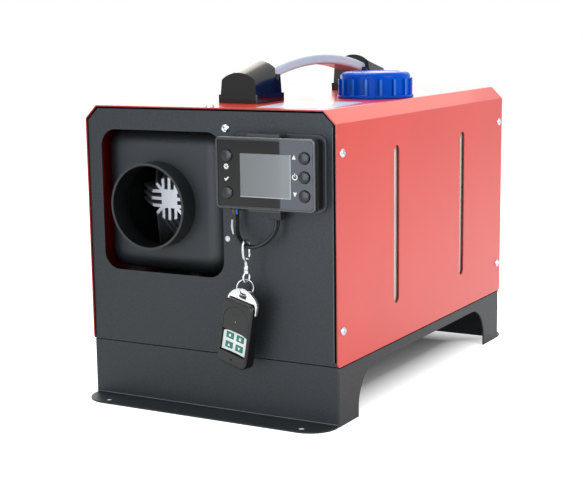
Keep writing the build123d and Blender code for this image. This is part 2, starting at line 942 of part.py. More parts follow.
def swept_tube(route, radius):
    """A round tube along straight runs joined by tangent arcs, measured as it is made."""
    radii = corner_radii(route)
    with BuildPart() as tube:
        with BuildLine() as path:
            FilletPolyline(*route, radius=radii)
        centre_line = path.wire()
        with BuildSketch(Plane(origin=centre_line @ 0, z_dir=centre_line % 0)):
            Circle(radius)
        sweep(path=centre_line)
    length = centre_line.length
    ratio = tube.part.volume / (pi * radius**2 * length)
    print(f"length {length:.1f}, volume ratio {ratio:.4f}, radii", [round(r, 1) for r in radii])
    return tube.part


with BuildPart() as suction_hose:
    add(swept_tube(suction_route, hose_radius))
suction_hose.part.label = "suction_hose"
export_step(suction_hose.part, "parts/suction_hose.step")

with BuildPart() as delivery_hose:
    add(swept_tube(delivery_route, hose_radius))
delivery_hose.part.label = "delivery_hose"
export_step(delivery_hose.part, "parts/delivery_hose.step")


# ---------------------------------------------------------------- heater case
def heater_section(depth, inset):
    """Rounded cross-section of the heater, set in from its outside."""
    with BuildSketch(facing_front(depth)) as section:
        with Locations((heater_body_x, heater_z)):
            RectangleRounded(
                heater_width - 2 * inset, heater_height - 2 * inset, heater_corner - inset
            )
    return section.sketch


shell_length = shell_rear_depth - shell_front_depth
foot_y = front + foot_plate_depth


def heater_half(side):
    """One half of the heater's body shell, split at the axis height."""
    with BuildPart() as half:
        extrude(heater_section(shell_rear_depth, 0), amount=shell_length)
        extrude(heater_section(shell_rear_depth, heater_wall), amount=shell_length, mode=Mode.SUBTRACT)
        cut_start = heater_z + side * seat_gap / 2
        with BuildSketch(level(cut_start)):
            with Locations((heater_x, 0)):
                Rectangle(2 * heater_width, 2 * base_depth)
        extrude(amount=-side * heater_height, mode=Mode.SUBTRACT)
    return half.part


with BuildPart() as heater_upper_shell:
    add(heater_half(1))
heater_upper_shell.part.label = "heater_upper_shell"
export_step(heater_upper_shell.part, "parts/heater_upper_shell.step")

with BuildPart() as heater_lower_shell:
    add(heater_half(-1))
    with BuildSketch(level(heater_z - heater_height / 2)):
        with Locations((foot_plate_x, foot_y)):
            Rectangle(foot_plate_width + 2 * seat_gap, foot_plate_length + 2 * seat_gap)
    extrude(amount=2 * heater_wall, both=True, mode=Mode.SUBTRACT)
heater_lower_shell.part.label = "heater_lower_shell"
export_step(heater_lower_shell.part, "parts/heater_lower_shell.step")



def cowl_body(inset):
    """Domed cover with generously rounded front edges."""
    with BuildPart() as body:
        extrude(heater_section(cowl_rim_depth, inset), amount=cowl_rim_depth - cowl_face_depth - inset)
        fillet(body.faces().sort_by(Axis.Y)[0].edges(), cowl_round - inset)
    return body.part


with BuildPart() as outlet_cowl:
    add(cowl_body(0))
    with BuildSketch(facing_front(cowl_face_depth + heater_wall)):
        with Locations((heater_x, collar_z)):
            Circle(collar_radius)
    extrude(amount=cowl_face_depth + heater_wall - collar_front)
    add(cowl_body(heater_wall), mode=Mode.SUBTRACT)
    with BuildSketch(facing_front(cowl_rim_depth)):
        with Locations((heater_x, collar_z)):
            Circle(collar_radius - collar_wall)
    extrude(amount=cowl_rim_depth - collar_front, mode=Mode.SUBTRACT)
outlet_cowl.part.label = "outlet_cowl"
export_step(outlet_cowl.part, "parts/outlet_cowl.step")

grille_pitch = intake_bore / (grille_rings + 0.5)

with BuildPart() as intake_cowl:
    extrude(heater_section(intake_end, 0), amount=intake_length)
    fillet(intake_cowl.faces().sort_by(Axis.Y)[-1].edges(), 2 * heater_wall)
    extrude(heater_section(intake_end - heater_wall, heater_wall), amount=intake_length, mode=Mode.SUBTRACT)
    with BuildSketch(facing_front(intake_end)):
        with Locations((heater_x, heater_z)):
            Circle(intake_bore)
            for ring in range(grille_rings, 0, -1):
                Circle(ring * grille_pitch + grille_bar / 2, mode=Mode.SUBTRACT)
                Circle(ring * grille_pitch - grille_bar / 2)
            for spoke in range(4):
                Rectangle(3 * intake_bore, grille_bar, rotation=45 * spoke, mode=Mode.SUBTRACT)
    extrude(amount=heater_wall, mode=Mode.SUBTRACT)
intake_cowl.part.label = "intake_cowl"
export_step(intake_cowl.part, "parts/intake_cowl.step")


# ---------------------------------------------------------------- heat exchanger and burner
fin_reach = heater_width
fin_length = core_rear_depth - fin_front_depth
core_front_depth = fin_slope_depth

with BuildPart() as fin_envelope:
    with BuildSketch(Plane.XY.offset(heater_z)):
        with BuildLine():
            Polyline(
                (heater_x, front + fin_front_depth),
                (heater_x + fin_bright_radius, front + fin_front_depth),
                (heater_x + heater_height, front + fin_slope_depth + heater_height - 2 * core_radius),
                (heater_x + heater_height, front + core_rear_depth),
                (heater_x, front + core_rear_depth),
                close=True,
            )
        make_face()
    revolve(axis=Axis((heater_x, 0, heater_z), (0, 1, 0)))

with BuildPart() as heat_exchanger:
    with BuildSketch(facing_front(core_rear_depth)) as fins:
        with Locations((heater_x, heater_z)):
            for step in (-1, 0, 1):
                with Locations((step * fin_pitch, 0)):
                    Rectangle(fin_thickness, fin_reach * 2)
                with Locations((0, step * fin_pitch)):
                    Rectangle(fin_reach * 2, fin_thickness)
            Rectangle(fin_reach * 2, fin_thickness, rotation=45)
            Rectangle(fin_reach * 2, fin_thickness, rotation=-45)
            Rectangle(hub_size, hub_size)
        add(heater_section(core_rear_depth, heater_wall + fin_gap), mode=Mode.INTERSECT)
    extrude(amount=fin_length)
    add(fin_envelope.part, mode=Mode.INTERSECT)
    with BuildSketch(facing_front(core_rear_depth)):
        with Locations((heater_x, heater_z)):
            Circle(core_radius)
    extrude(amount=core_rear_depth - core_front_depth)
    with BuildSketch(level(foot_plate_bottom)):
        with Locations((foot_plate_x, foot_y)):
            Rectangle(foot_plate_width, foot_plate_length)
    extrude(amount=foot_plate_thickness)
    with BuildSketch(level(foot_plate_bottom)):
        with Locations(*pipe_spots):
            Circle(port_radius)
    extrude(amount=heater_z - core_radius - foot_plate_bottom + foot_plate_thickness)
    with BuildSketch(level(foot_plate_bottom)):
        with Locations(*pipe_spots):
            Circle(exhaust_radius - pipe_wall)
    extrude(amount=heater_z - core_radius - foot_plate_bottom, mode=Mode.SUBTRACT)
    with BuildSketch(facing_front(core_rear_depth)):
        with Locations((heater_x, heater_z)):
            Circle(core_bore)
    extrude(amount=core_rear_depth - core_front_depth - foot_plate_thickness, mode=Mode.SUBTRACT)
    with BuildSketch(level(inlet_z - nipple_radius)):
        with Locations((heater_x, front + inlet_depth)):
            Circle(2 * nipple_radius)
    extrude(amount=foot_plate_bottom - inlet_z + nipple_radius)
    with BuildSketch(facing_front(inlet_depth + inlet_reach)):
        with Locations((heater_x, inlet_z)):
            Circle(nipple_radius)
    extrude(amount=inlet_reach)
    with BuildSketch(level(heater_z)):
        with Locations((heater_x, front + glow_plug_depth)):
            Circle(glow_plug_radius + screw_clearance)
    extrude(amount=heater_height, mode=Mode.SUBTRACT)
heat_exchanger.part.label = "heat_exchanger"
export_step(heat_exchanger.part, "parts/heat_exchanger.step")

with BuildPart() as burner_tube:
    with BuildSketch(facing_front(core_rear_depth)):
        with Locations((heater_x, heater_z)):
            Circle(burner_radius)
    extrude(amount=burner_length)
    with BuildSketch(facing_front(core_rear_depth)):
        with Locations((heater_x, heater_z)):
            Circle(core_bore - seat_gap)
    extrude(amount=2 * burner_wall)
    with BuildSketch(facing_front(core_rear_depth - 2 * burner_wall)):
        with Locations((heater_x, heater_z)):
            Circle(burner_radius - burner_wall)
    extrude(amount=burner_length, mode=Mode.SUBTRACT)
    with BuildSketch(facing_front(core_rear_depth)):
        with Locations((heater_x, heater_z)):
            Circle(burner_radius / 2)
    extrude(amount=2 * burner_wall, mode=Mode.SUBTRACT)
    with BuildSketch(level(heater_z)):
        with Locations((heater_x, front + glow_plug_depth)):
            Circle(glow_plug_radius + screw_clearance)
    extrude(amount=core_bore, mode=Mode.SUBTRACT)
burner_tube.part.label = "burner_tube"
export_step(burner_tube.part, "parts/burner_tube.step")

with BuildPart() as glow_plug:
    with BuildSketch(level(heater_z + burner_radius / 2)):
        with Locations((heater_x, front + glow_plug_depth)):
            Circle(glow_plug_radius)
    extrude(amount=heater_height / 2 - heater_wall - burner_radius / 2 - 2 * fin_gap)
    fillet(glow_plug.edges().group_by(Axis.Z)[0], glow_plug_radius / 2)
glow_plug.part.label = "glow_plug"
export_step(glow_plug.part, "parts/glow_plug.step")


# ---------------------------------------------------------------- exhaust, intake pipe, stand
gasket_top = foot_plate_bottom - seat_gap
stand_top = gasket_top - gasket_sheet - seat_gap
inlet_spot = (heater_x, front + inlet_depth)
inlet_hole = 2 * nipple_radius + pipe_wall


def standing_pipe(x, radius):
    """A pipe from the heater's foot plate down through the base."""
    with BuildPart() as pipe:
        with BuildSketch(level(pipe_bottom)):
            with Locations((x, front + port_depth)):
                Circle(radius)
        extrude(amount=gasket_top - pipe_bottom)
        with BuildSketch(level(pipe_bottom + pipe_end)):
            with Locations((x, front + port_depth)):
                Circle(radius + bead_rise)
        extrude(amount=bead_height)
        with BuildSketch(level(pipe_bottom)):
            with Locations((x, front + port_depth)):
                Circle(exhaust_radius - pipe_wall)
        extrude(amount=gasket_top - pipe_bottom, mode=Mode.SUBTRACT)
    return pipe.part


with BuildPart() as exhaust_pipe:
    add(standing_pipe(exhaust_x, exhaust_radius))
exhaust_pipe.part.label = "exhaust_pipe"
export_step(exhaust_pipe.part, "parts/exhaust_pipe.step")

with BuildPart() as combustion_air_pipe:
    add(standing_pipe(intake_pipe_x, intake_pipe_radius))
combustion_air_pipe.part.label = "combustion_air_pipe"
export_step(combustion_air_pipe.part, "parts/combustion_air_pipe.step")

with BuildPart() as heater_gasket:
    with BuildSketch(level(gasket_top - gasket_sheet)):
        with Locations((foot_plate_x, foot_y)):
            Rectangle(foot_plate_width, foot_plate_length)
        with Locations(*pipe_spots):
            Circle(intake_pipe_radius + seat_gap, mode=Mode.SUBTRACT)
        with Locations(inlet_spot):
            Circle(inlet_hole, mode=Mode.SUBTRACT)
    extrude(amount=gasket_sheet)
heater_gasket.part.label = "heater_gasket"
export_step(heater_gasket.part, "parts/heater_gasket.step")

with BuildPart() as heater_stand:
    stand_low = base_height + seat_gap
    stand_rear = foot_plate_depth + foot_plate_length / 2
    with BuildSketch(facing_front(stand_rear)):
        with Locations((foot_plate_x, stand_low)):
            Rectangle(stand_width, stand_top - stand_low, align=(Align.CENTER, Align.MIN))
            Rectangle(
                stand_width - 2 * base_sheet,
                stand_top - stand_low - base_sheet,
                align=(Align.CENTER, Align.MIN),
                mode=Mode.SUBTRACT,
            )
        with Locations((foot_plate_x - stand_width / 2, stand_low)):
            Rectangle(stand_foot, base_sheet, align=(Align.MAX, Align.MIN))
        with Locations((foot_plate_x + stand_width / 2, stand_low)):
            Rectangle(stand_foot, base_sheet, align=(Align.MIN, Align.MIN))
    extrude(amount=foot_plate_length)
    with BuildSketch(level(stand_top)):
        with Locations(*pipe_spots):
            Circle(intake_pipe_radius + seat_gap)
        with Locations(inlet_spot):
            Circle(inlet_hole)
    extrude(amount=-2 * base_sheet, mode=Mode.SUBTRACT)
heater_stand.part.label = "heater_stand"
export_step(heater_stand.part, "parts/heater_stand.step")


# ---------------------------------------------------------------- blower
plate_reach = min(heater_width / 2 - abs(heater_body_x - heater_x), heater_height / 2)

with BuildPart() as blower_motor:
    extrude(heater_section(motor_depth + motor_plate, heater_wall + seat_gap), amount=motor_plate)
    with BuildSketch(facing_front(motor_depth + motor_plate)):
        with Locations((heater_x, heater_z)):
            with PolarLocations((scroll_radius + plate_reach) / 2, 8, start_angle=22.5):
                Circle((plate_reach - scroll_radius) / 2 - heater_wall)
    extrude(amount=motor_plate, mode=Mode.SUBTRACT)
    with BuildSketch(facing_front(motor_depth + motor_length)):
        with Locations((heater_x, heater_z)):
            Circle(motor_radius)
    extrude(amount=motor_length)
    with BuildSketch(facing_front(motor_depth)):
        with Locations((heater_x, heater_z)):
            Circle(scroll_radius)
            Circle(scroll_radius - scroll_wall, mode=Mode.SUBTRACT)
    extrude(amount=scroll_length)
    with BuildSketch(facing_front(motor_depth + motor_length)):
        with Locations((heater_x, heater_z)):
            Circle(shaft_radius + shaft_fit)
    extrude(amount=motor_length + motor_plate, mode=Mode.SUBTRACT)
blower_motor.part.label = "blower_motor"
export_step(blower_motor.part, "parts/blower_motor.step")

with BuildPart() as motor_shaft:
    with BuildSketch(facing_front(shaft_depth + shaft_length)):
        with Locations((heater_x, heater_z)):
            Circle(shaft_radius)
    extrude(amount=shaft_length)
motor_shaft.part.label = "motor_shaft"
export_step(motor_shaft.part, "parts/motor_shaft.step")

fan_axis = Axis((heater_x, 0, heater_z), (0, 1, 0))

with BuildPart() as air_fan_blade:
    blade_middle = front + air_fan_depth + air_fan_length / 2
    for radius, angle in ((air_fan_hub - blade_root_sink, blade_root_angle), (air_fan_radius, blade_tip_angle)):
        with BuildSketch(Plane((heater_x, blade_middle, heater_z + radius))):
            Rectangle(blade_chord, blade_thickness, rotation=angle)
    loft()

with BuildPart() as warm_air_fan:
    with BuildSketch(facing_front(air_fan_depth + air_fan_length)):
        with Locations((heater_x, heater_z)):
            Circle(air_fan_hub)
    extrude(amount=air_fan_length)
    fillet(warm_air_fan.edges().group_by(Axis.Y)[-1], blade_thickness)
    for blade in range(air_fan_blades):
        add(air_fan_blade.part.rotate(fan_axis, blade * 360 / air_fan_blades))
    with BuildSketch(facing_front(air_fan_depth + air_fan_length)):
        with Locations((heater_x, heater_z)):
            Circle(shaft_radius + shaft_fit / 2)
    extrude(amount=air_fan_length, mode=Mode.SUBTRACT)
warm_air_fan.part.label = "warm_air_fan"
export_step(warm_air_fan.part, "parts/warm_air_fan.step")

with BuildPart() as combustion_fan:
    with BuildSketch(facing_front(burner_fan_depth + burner_fan_length)):
        with Locations((heater_x, heater_z)):
            Circle(burner_fan_radius)
    extrude(amount=blade_thickness)
    with BuildSketch(facing_front(burner_fan_depth + burner_fan_length)):
        with Locations((heater_x, heater_z)):
            Circle(burner_fan_radius / 3)
            vane_length = burner_fan_radius * 2 / 3
            with PolarLocations(burner_fan_radius - blade_root_sink - vane_length / 2, burner_fan_vanes):
                Rectangle(vane_length, blade_thickness)
    extrude(amount=burner_fan_length)
    with BuildSketch(facing_front(burner_fan_depth + burner_fan_length)):
        with Locations((heater_x, heater_z)):
            Circle(shaft_radius + shaft_fit / 2)
    extrude(amount=burner_fan_length, mode=Mode.SUBTRACT)
combustion_fan.part.label = "combustion_fan"
export_step(combustion_fan.part, "parts/combustion_fan.step")

with BuildPart() as control_unit:
    control_top = heater_z + heater_height / 2 - heater_wall - seat_gap
    with BuildSketch(level(control_top)):
        with Locations((heater_x, front + control_depth + control_length / 2)):
            RectangleRounded(control_width, control_length, controller_corner)
    extrude(amount=-control_height)
    fillet(control_unit.edges().group_by(Axis.Z)[0], controller_wall)
control_unit.part.label = "control_unit"
export_step(control_unit.part, "parts/control_unit.step")


# ---------------------------------------------------------------- controller
window_back = -controller_reach + window_recess + window_thickness
case_back = -cradle_thickness - seat_gap
case_front = -controller_reach + bezel_depth
button_spots = {
    "settings_button": (left_buttons_x, top_row_z),
    "ok_button": (left_buttons_x, bottom_row_z),
    "up_button": (right_buttons_x, top_row_z),
    "power_button": (right_buttons_x, middle_row_z),
    "down_button": (right_buttons_x, bottom_row_z),
}

with BuildPart() as controller_cradle:
    with BuildSketch(facing_front(-seat_gap / 2)):
        with Locations((cradle_x, controller_z)):
            RectangleRounded(cradle_width, cradle_height, cradle_corner)
    extrude(amount=cradle_thickness - seat_gap / 2)
    fillet(controller_cradle.edges().group_by(Axis.Y)[0], cradle_thickness / 3)
    for side in (-1, 1):
        tab_inner = controller_z + side * (controller_height / 2 + seat_gap)
        with BuildSketch(facing_front(-cradle_thickness / 2)):
            with Locations((tab_x, tab_inner + side * tab_thickness / 2)):
                Rectangle(tab_width, tab_thickness)
        extrude(amount=tab_reach)
controller_cradle.part.label = "controller_cradle"
export_step(controller_cradle.part, "parts/controller_cradle.step")

gland_top = controller_z - controller_height / 2 + controller_wall / 2
gland_bottom = gland_top - gland_height

with BuildPart() as controller_case:
    with BuildSketch(facing_front(case_back)):
        with Locations((controller_x, controller_z)):
            RectangleRounded(controller_width - controller_wall, controller_height - controller_wall,
                             controller_corner)
    extrude(amount=case_back - case_front)
    fillet(controller_case.faces().sort_by(Axis.Y)[-1].edges(), controller_wall / 2)
    with BuildSketch(facing_front(case_back - controller_wall)):
        with Locations((controller_x, controller_z)):
            RectangleRounded(
                controller_width - 3 * controller_wall,
                controller_height - 3 * controller_wall,
                controller_corner - controller_wall,
            )
    extrude(amount=case_back - case_front, mode=Mode.SUBTRACT)
    with BuildSketch(level(gland_top)):
        with Locations((cable_exit_x, front + cable_exit_depth)):
            RectangleRounded(gland_width, gland_depth, cable_radius)
    extrude(amount=-gland_height)
controller_case.part.label = "controller_case"
export_step(controller_case.part, "parts/controller_case.step")

with BuildPart() as controller_bezel:
    with BuildSketch(facing_front(case_front - seat_gap)):
        with Locations((controller_x, controller_z)):
            RectangleRounded(controller_width, controller_height, controller_corner)
    extrude(amount=bezel_depth - seat_gap)
    fillet(controller_bezel.edges().group_by(Axis.Y)[0], controller_wall / 2)
    with BuildSketch(facing_front(window_back + seat_gap)):
        with Locations((controller_x, controller_z)):
            Rectangle(window_width + 2 * seat_gap, window_height + 2 * seat_gap)
    extrude(amount=bezel_depth, mode=Mode.SUBTRACT)
    with BuildSketch(facing_front(case_front)):
        with Locations((controller_x, controller_z)):
            Rectangle(window_width - 2 * window_rim, window_height - 2 * window_rim)
    extrude(amount=bezel_depth, mode=Mode.SUBTRACT)
controller_bezel.part.label = "controller_bezel"
export_step(controller_bezel.part, "parts/controller_bezel.step")

with BuildPart() as controller_window:
    with BuildSketch(facing_front(window_back)):
        with Locations((controller_x, controller_z)):
            Rectangle(window_width, window_height)
        with Locations((display_x, display_z)):
            Rectangle(display_width + 2 * seat_gap, display_height + 2 * seat_gap, mode=Mode.SUBTRACT)
        with Locations(*button_spots.values()):
            Circle(button_radius + button_gap, mode=Mode.SUBTRACT)
    extrude(amount=window_thickness)
controller_window.part.label = "controller_window"
export_step(controller_window.part, "parts/controller_window.step")

with BuildPart() as lcd_display:
    with BuildSketch(facing_front(window_back + window_thickness)):
        with Locations((display_x, display_z)):
            Rectangle(display_width, display_height)
    extrude(amount=2 * window_thickness + window_recess / 2)
lcd_display.part.label = "lcd_display"
export_step(lcd_display.part, "parts/lcd_display.step")

for button_name, (button_x, button_z) in button_spots.items():
    with BuildPart() as button:
        with BuildSketch(facing_front(window_back + 2 * button_gap)):
            with Locations((button_x, button_z)):
                Circle(button_radius)
        extrude(amount=2 * button_gap + window_thickness + window_recess + button_proud)
        fillet(button.edges().group_by(Axis.Y)[0], button_edge)
        with BuildSketch(facing_front(window_back + button_gap + button_proud / 2)):
            with Locations((button_x, button_z)):
                Circle(button_flange)
        extrude(amount=button_proud / 2)
    button.part.label = button_name
    export_step(button.part, f"parts/{button_name}.step")


# ---------------------------------------------------------------- controller cable
gland_exit = gland_bottom - seat_gap / 2
connector_top = controller_z - controller_height / 2 - seat_gap - tab_thickness - seat_gap
connector_bottom = connector_top - connector_height
cable_route = [
    (cable_exit_x, cable_exit_depth, gland_exit),
    (cable_exit_x, cable_exit_depth, 178.5),
    (38.4, -13.6, 167.5),
    (46.0, -17.4, 159.8),
    (57.0, -18.6, 157.4),
    (67.2, -16.6, 161.0),
    (74.4, -12.6, 168.0),
    (connector_x, connector_depth_middle, 175.5),
    (connector_x, connector_depth_middle, connector_bottom - seat_gap / 2),
]
cable_sides = {"controller_cable_a": -cable_spacing / 2, "controller_cable_b": cable_spacing / 2}

for cable_name, cable_offset in cable_sides.items():
    strand = at_depth([(x, depth + cable_offset, z) for x, depth, z in cable_route])
    with BuildPart() as cable:
        add(swept_tube(strand, cable_radius))
    cable.part.label = cable_name
    export_step(cable.part, f"parts/{cable_name}.step")

with BuildPart() as cable_connector:
    with BuildSketch(level(connector_bottom)):
        with Locations((connector_x, front + connector_depth_middle)):
            RectangleRounded(connector_width, connector_depth, cable_radius)
    extrude(amount=connector_height)
    fillet(cable_connector.edges().group_by(Axis.Z)[0], cable_radius / 2)
cable_connector.part.label = "cable_connector"
export_step(cable_connector.part, "parts/cable_connector.step")


# ---------------------------------------------------------------- clasp
clasp_y = front - clasp_reach
clasp_outer = clasp_eye_width / 2 + clasp_bar
eye_top = clasp_eye_z + clasp_eye_width / 2
eye_bottom = eye_top - clasp_eye_length
gate_y = clasp_y + clasp_eye_width / 2 + clasp_bar / 2

with BuildPart() as clasp_hook:
    with BuildSketch(facing_side(clasp_x - clasp_thickness / 2)):
        with Locations((clasp_y, eye_top + clasp_bar)):
            RectangleRounded(
                2 * clasp_outer,
                clasp_eye_length + 2 * clasp_bar,
                clasp_outer - seat_gap,
                align=(Align.CENTER, Align.MAX),
            )
        with Locations((clasp_y, clasp_bottom)):
            Rectangle(clasp_neck_width, eye_bottom - clasp_bottom, align=(Align.CENTER, Align.MIN))
        with Locations((clasp_y, eye_top)):
            RectangleRounded(
                clasp_eye_width,
                clasp_eye_length,
                clasp_eye_width / 2 - seat_gap,
                align=(Align.CENTER, Align.MAX),
                mode=Mode.SUBTRACT,
            )
        with Locations((gate_y, gate_pivot_z)):
            Circle(clasp_bar / 2 + gate_gap, mode=Mode.SUBTRACT)
            Rectangle(
                2 * clasp_bar,
                gate_length + clasp_bar / 2 + gate_gap,
                align=(Align.CENTER, Align.MIN),
                mode=Mode.SUBTRACT,
            )
    extrude(amount=clasp_thickness)
    with BuildSketch(level(clasp_bottom)):
        with Locations((clasp_x, clasp_y)):
            Circle(swivel_pin_radius + swivel_pin_fit)
    extrude(amount=eye_bottom - clasp_bottom + clasp_bar, mode=Mode.SUBTRACT)
clasp_hook.part.label = "clasp_hook"
export_step(clasp_hook.part, "parts/clasp_hook.step")

with BuildPart() as clasp_gate:
    with BuildSketch(facing_side(clasp_x - clasp_thickness / 2)):
        with Locations((gate_y, gate_pivot_z + gate_length / 2)):
            SlotCenterToCenter(gate_length, clasp_bar, rotation=90)
    extrude(amount=clasp_thickness)
clasp_gate.part.label = "clasp_gate"
export_step(clasp_gate.part, "parts/clasp_gate.step")

swivel_top = clasp_bottom - running_gap
loop_centre = swivel_top - swivel_height - swivel_loop + seat_gap
loop_line = swivel_loop + swivel_wire
loop_facing = Vector(cos(radians(swivel_turn)), sin(radians(swivel_turn)), 0)
loop_seat = (clasp_x, clasp_y, loop_centre)
loop_plane = Plane(loop_seat, x_dir=(0, 0, 1), z_dir=loop_facing.cross(Vector(0, 0, 1)))

with BuildPart() as clasp_swivel:
    with BuildSketch(level(swivel_top)):
        with Locations((clasp_x, clasp_y)):
            Circle(swivel_radius)
    extrude(amount=-swivel_height)
    with BuildSketch(level(swivel_top)):
        with Locations((clasp_x, clasp_y)):
            Circle(swivel_pin_radius)
    extrude(amount=eye_bottom + running_gap - swivel_top)
    with BuildSketch(level(eye_bottom + running_gap)):
        with Locations((clasp_x, clasp_y)):
            Circle(swivel_head_radius)
    extrude(amount=swivel_wire)
    with BuildSketch(loop_plane):
        with Locations((loop_line, 0)):
            Circle(swivel_wire)
    revolve(axis=Axis(loop_seat, loop_facing))
clasp_swivel.part.label = "clasp_swivel"
export_step(clasp_swivel.part, "parts/clasp_swivel.step")


# ---------------------------------------------------------------- split ring
ring_along = Vector(cos(radians(ring_turn)), sin(radians(ring_turn)), 0)
ring_facing = Vector(sin(radians(ring_turn)), -cos(radians(ring_turn)), 0)
ring_top_point = Vector(clasp_x, clasp_y, loop_centre - swivel_loop + link_gap + ring_wire)
ring_spoke = ring_along * sin(radians(ring_lean)) + Vector(0, 0, 1) * cos(radians(ring_lean))
ring_centre = ring_top_point - ring_spoke * ring_radius
ring_low_point = ring_centre - ring_spoke * ring_radius

with BuildPart() as split_ring:
    with BuildSketch(Plane(ring_centre, x_dir=ring_along, z_dir=ring_along.cross(ring_facing))):
        with Locations((ring_radius, 0)):
            Circle(ring_wire)
    revolve(axis=Axis(ring_centre, ring_facing))
split_ring.part.label = "split_ring"
export_step(split_ring.part, "parts/split_ring.step")


# ---------------------------------------------------------------- key fob
def fob_turned(direction):
    """A direction of the upright fob, turned by its lean, tilt and yaw."""
    return direction.rotate(Axis.Y, fob_lean).rotate(Axis.X, fob_tilt).rotate(Axis.Z, fob_yaw)


fob_across = fob_turned(Vector(1, 0, 0))
fob_up = fob_turned(Vector(0, 0, 1))
fob_facing = fob_turned(Vector(0, -1, 0))
slot_rise = fob_length / 2 + hanger_slot_rise + hanger_slot_height / 2
fob_centre = ring_low_point + fob_up * (ring_wire + hanger_gap - slot_rise)
fob_face = fob_thickness / 2


def fob_plane(height):
    """Plane parallel to the fob's face, height above its middle."""
    return Plane(fob_centre + fob_facing * height, x_dir=fob_across, z_dir=fob_facing)


track_shoulder = track_top - slide_crown
key_spots = [(sx * key_pitch_x / 2, key_row + sy * key_pitch_y / 2) for sy in (1, -1) for sx in (-1, 1)]


def crowned_outline(width, bottom, shoulder, crown):
    """A rectangle with an arched top edge."""
    with BuildSketch() as outline:
        with BuildLine():
            Polyline((-width / 2, shoulder), (-width / 2, bottom), (width / 2, bottom), (width / 2, shoulder))
            ThreePointArc((width / 2, shoulder), (0, crown), (-width / 2, shoulder))
        make_face()
    return outline.sketch


def fob_placed(upright):
    """A piece made on the XY plane, laid on the fob's face plane."""
    with BuildPart() as placed:
        with Locations(fob_plane(0).location):
            add(upright)
    return placed


with BuildPart() as case_blank:
    Box(fob_width, fob_length, fob_thickness)
    fillet(case_blank.edges().filter_by(Axis.Z), fob_corner)
    fillet(case_blank.faces().filter_by(Axis.Z).edges(), fob_edge)
    with BuildSketch(level(fob_face - track_depth)):
        add(crowned_outline(track_width, track_bottom, track_shoulder, track_top))
    extrude(amount=2 * track_depth, mode=Mode.SUBTRACT)
    with BuildSketch(level(fob_face - track_depth)):
        with Locations(*key_spots):
            Rectangle(key_width + 2 * key_gap, key_height + 2 * key_gap)
    extrude(amount=-key_sink - key_travel - running_gap, mode=Mode.SUBTRACT)
    with BuildSketch(level(fob_face)):
        with Locations((0, (track_bottom - fob_length / 2) / 2)):
            Circle(swivel_wire)
    extrude(amount=-fob_edge, mode=Mode.SUBTRACT)
    with BuildSketch(level(-hanger_thickness / 2 - hanger_seat)):
        leg_cut = hanger_leg_width + hanger_seat
        with Locations((-fob_width / 2, fob_length / 2)):
            Rectangle(leg_cut, hanger_leg + hanger_seat, align=(Align.MIN, Align.MAX))
        with Locations((fob_width / 2, fob_length / 2)):
            Rectangle(leg_cut, hanger_leg + hanger_seat, align=(Align.MAX, Align.MAX))
    extrude(amount=hanger_thickness + 2 * hanger_seat, mode=Mode.SUBTRACT)
fob_case = fob_placed(case_blank.part)
fob_case.part.label = "fob_case"
export_step(fob_case.part, "parts/fob_case.step")

with BuildPart() as hanger_blank:
    hanger_low = fob_length / 2 + hanger_seat
    with BuildSketch(level(-hanger_thickness / 2)):
        with BuildLine():
            Polyline(
                (fob_width / 2, hanger_low),
                (fob_width / 2, hanger_low - hanger_leg),
                (fob_width / 2 - hanger_leg_width, hanger_low - hanger_leg),
                (fob_width / 2 - hanger_leg_width, hanger_low),
                (hanger_leg_width - fob_width / 2, hanger_low),
                (hanger_leg_width - fob_width / 2, hanger_low - hanger_leg),
                (-fob_width / 2, hanger_low - hanger_leg),
                (-fob_width / 2, hanger_low),
            )
            dome_top = (0, hanger_low + hanger_rise)
            ThreePointArc((-fob_width / 2, hanger_low), dome_top, (fob_width / 2, hanger_low))
        make_face()
    extrude(amount=hanger_thickness)
    fillet(hanger_blank.faces().filter_by(Axis.Z).edges(), hanger_leg_width / 3)
    with BuildSketch(level(-hanger_thickness)):
        with Locations((0, fob_length / 2 + hanger_slot_rise)):
            Rectangle(hanger_slot_width, hanger_slot_height)
    extrude(amount=2 * hanger_thickness, mode=Mode.SUBTRACT)
    for side in (-1, 1):
        with BuildSketch(level(side * hanger_web / 2)):
            with Locations((0, fob_length / 2 + hanger_slot_rise - hanger_slot_height / 2)):
                Rectangle(hanger_pocket, 2 * hanger_rise, align=(Align.CENTER, Align.MIN))
        extrude(amount=side * hanger_thickness, mode=Mode.SUBTRACT)
fob_hanger = fob_placed(hanger_blank.part)
fob_hanger.part.label = "fob_hanger"
export_step(fob_hanger.part, "parts/fob_hanger.step")

with BuildPart() as fob_slide_cover:
    with BuildSketch(fob_plane(fob_face - seat_gap - slide_thickness)):
        cover_bottom = track_top - slide_length - slide_gap
        add(crowned_outline(
            track_width - 2 * slide_gap, cover_bottom, track_shoulder - slide_gap, track_top - slide_gap
        ))
    extrude(amount=slide_thickness)
fob_slide_cover.part.label = "fob_slide_cover"
export_step(fob_slide_cover.part, "parts/fob_slide_cover.step")

for number, spot in enumerate(key_spots, start=1):
    with BuildPart() as fob_key:
        with BuildSketch(fob_plane(fob_face - track_depth - key_sink)):
            with Locations(spot):
                RectangleRounded(key_width, key_height, key_corner)
        extrude(amount=key_sink + key_stand)
    fob_key.part.label = f"fob_key_{number}"
    export_step(fob_key.part, f"parts/fob_key_{number}.step")

print("fob centre", fob_centre, "across", fob_across, "up", fob_up, "facing", fob_facing)
print("ring top", ring_top_point, "ring low", ring_low_point, "gate pivot", gate_y, gate_pivot_z)
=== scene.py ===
"""Diesel air heater, dressed for pictures: an add-on's layout, run as a script.

Metres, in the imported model's own frame: +Z up, the front faces -Y.
"""
import math

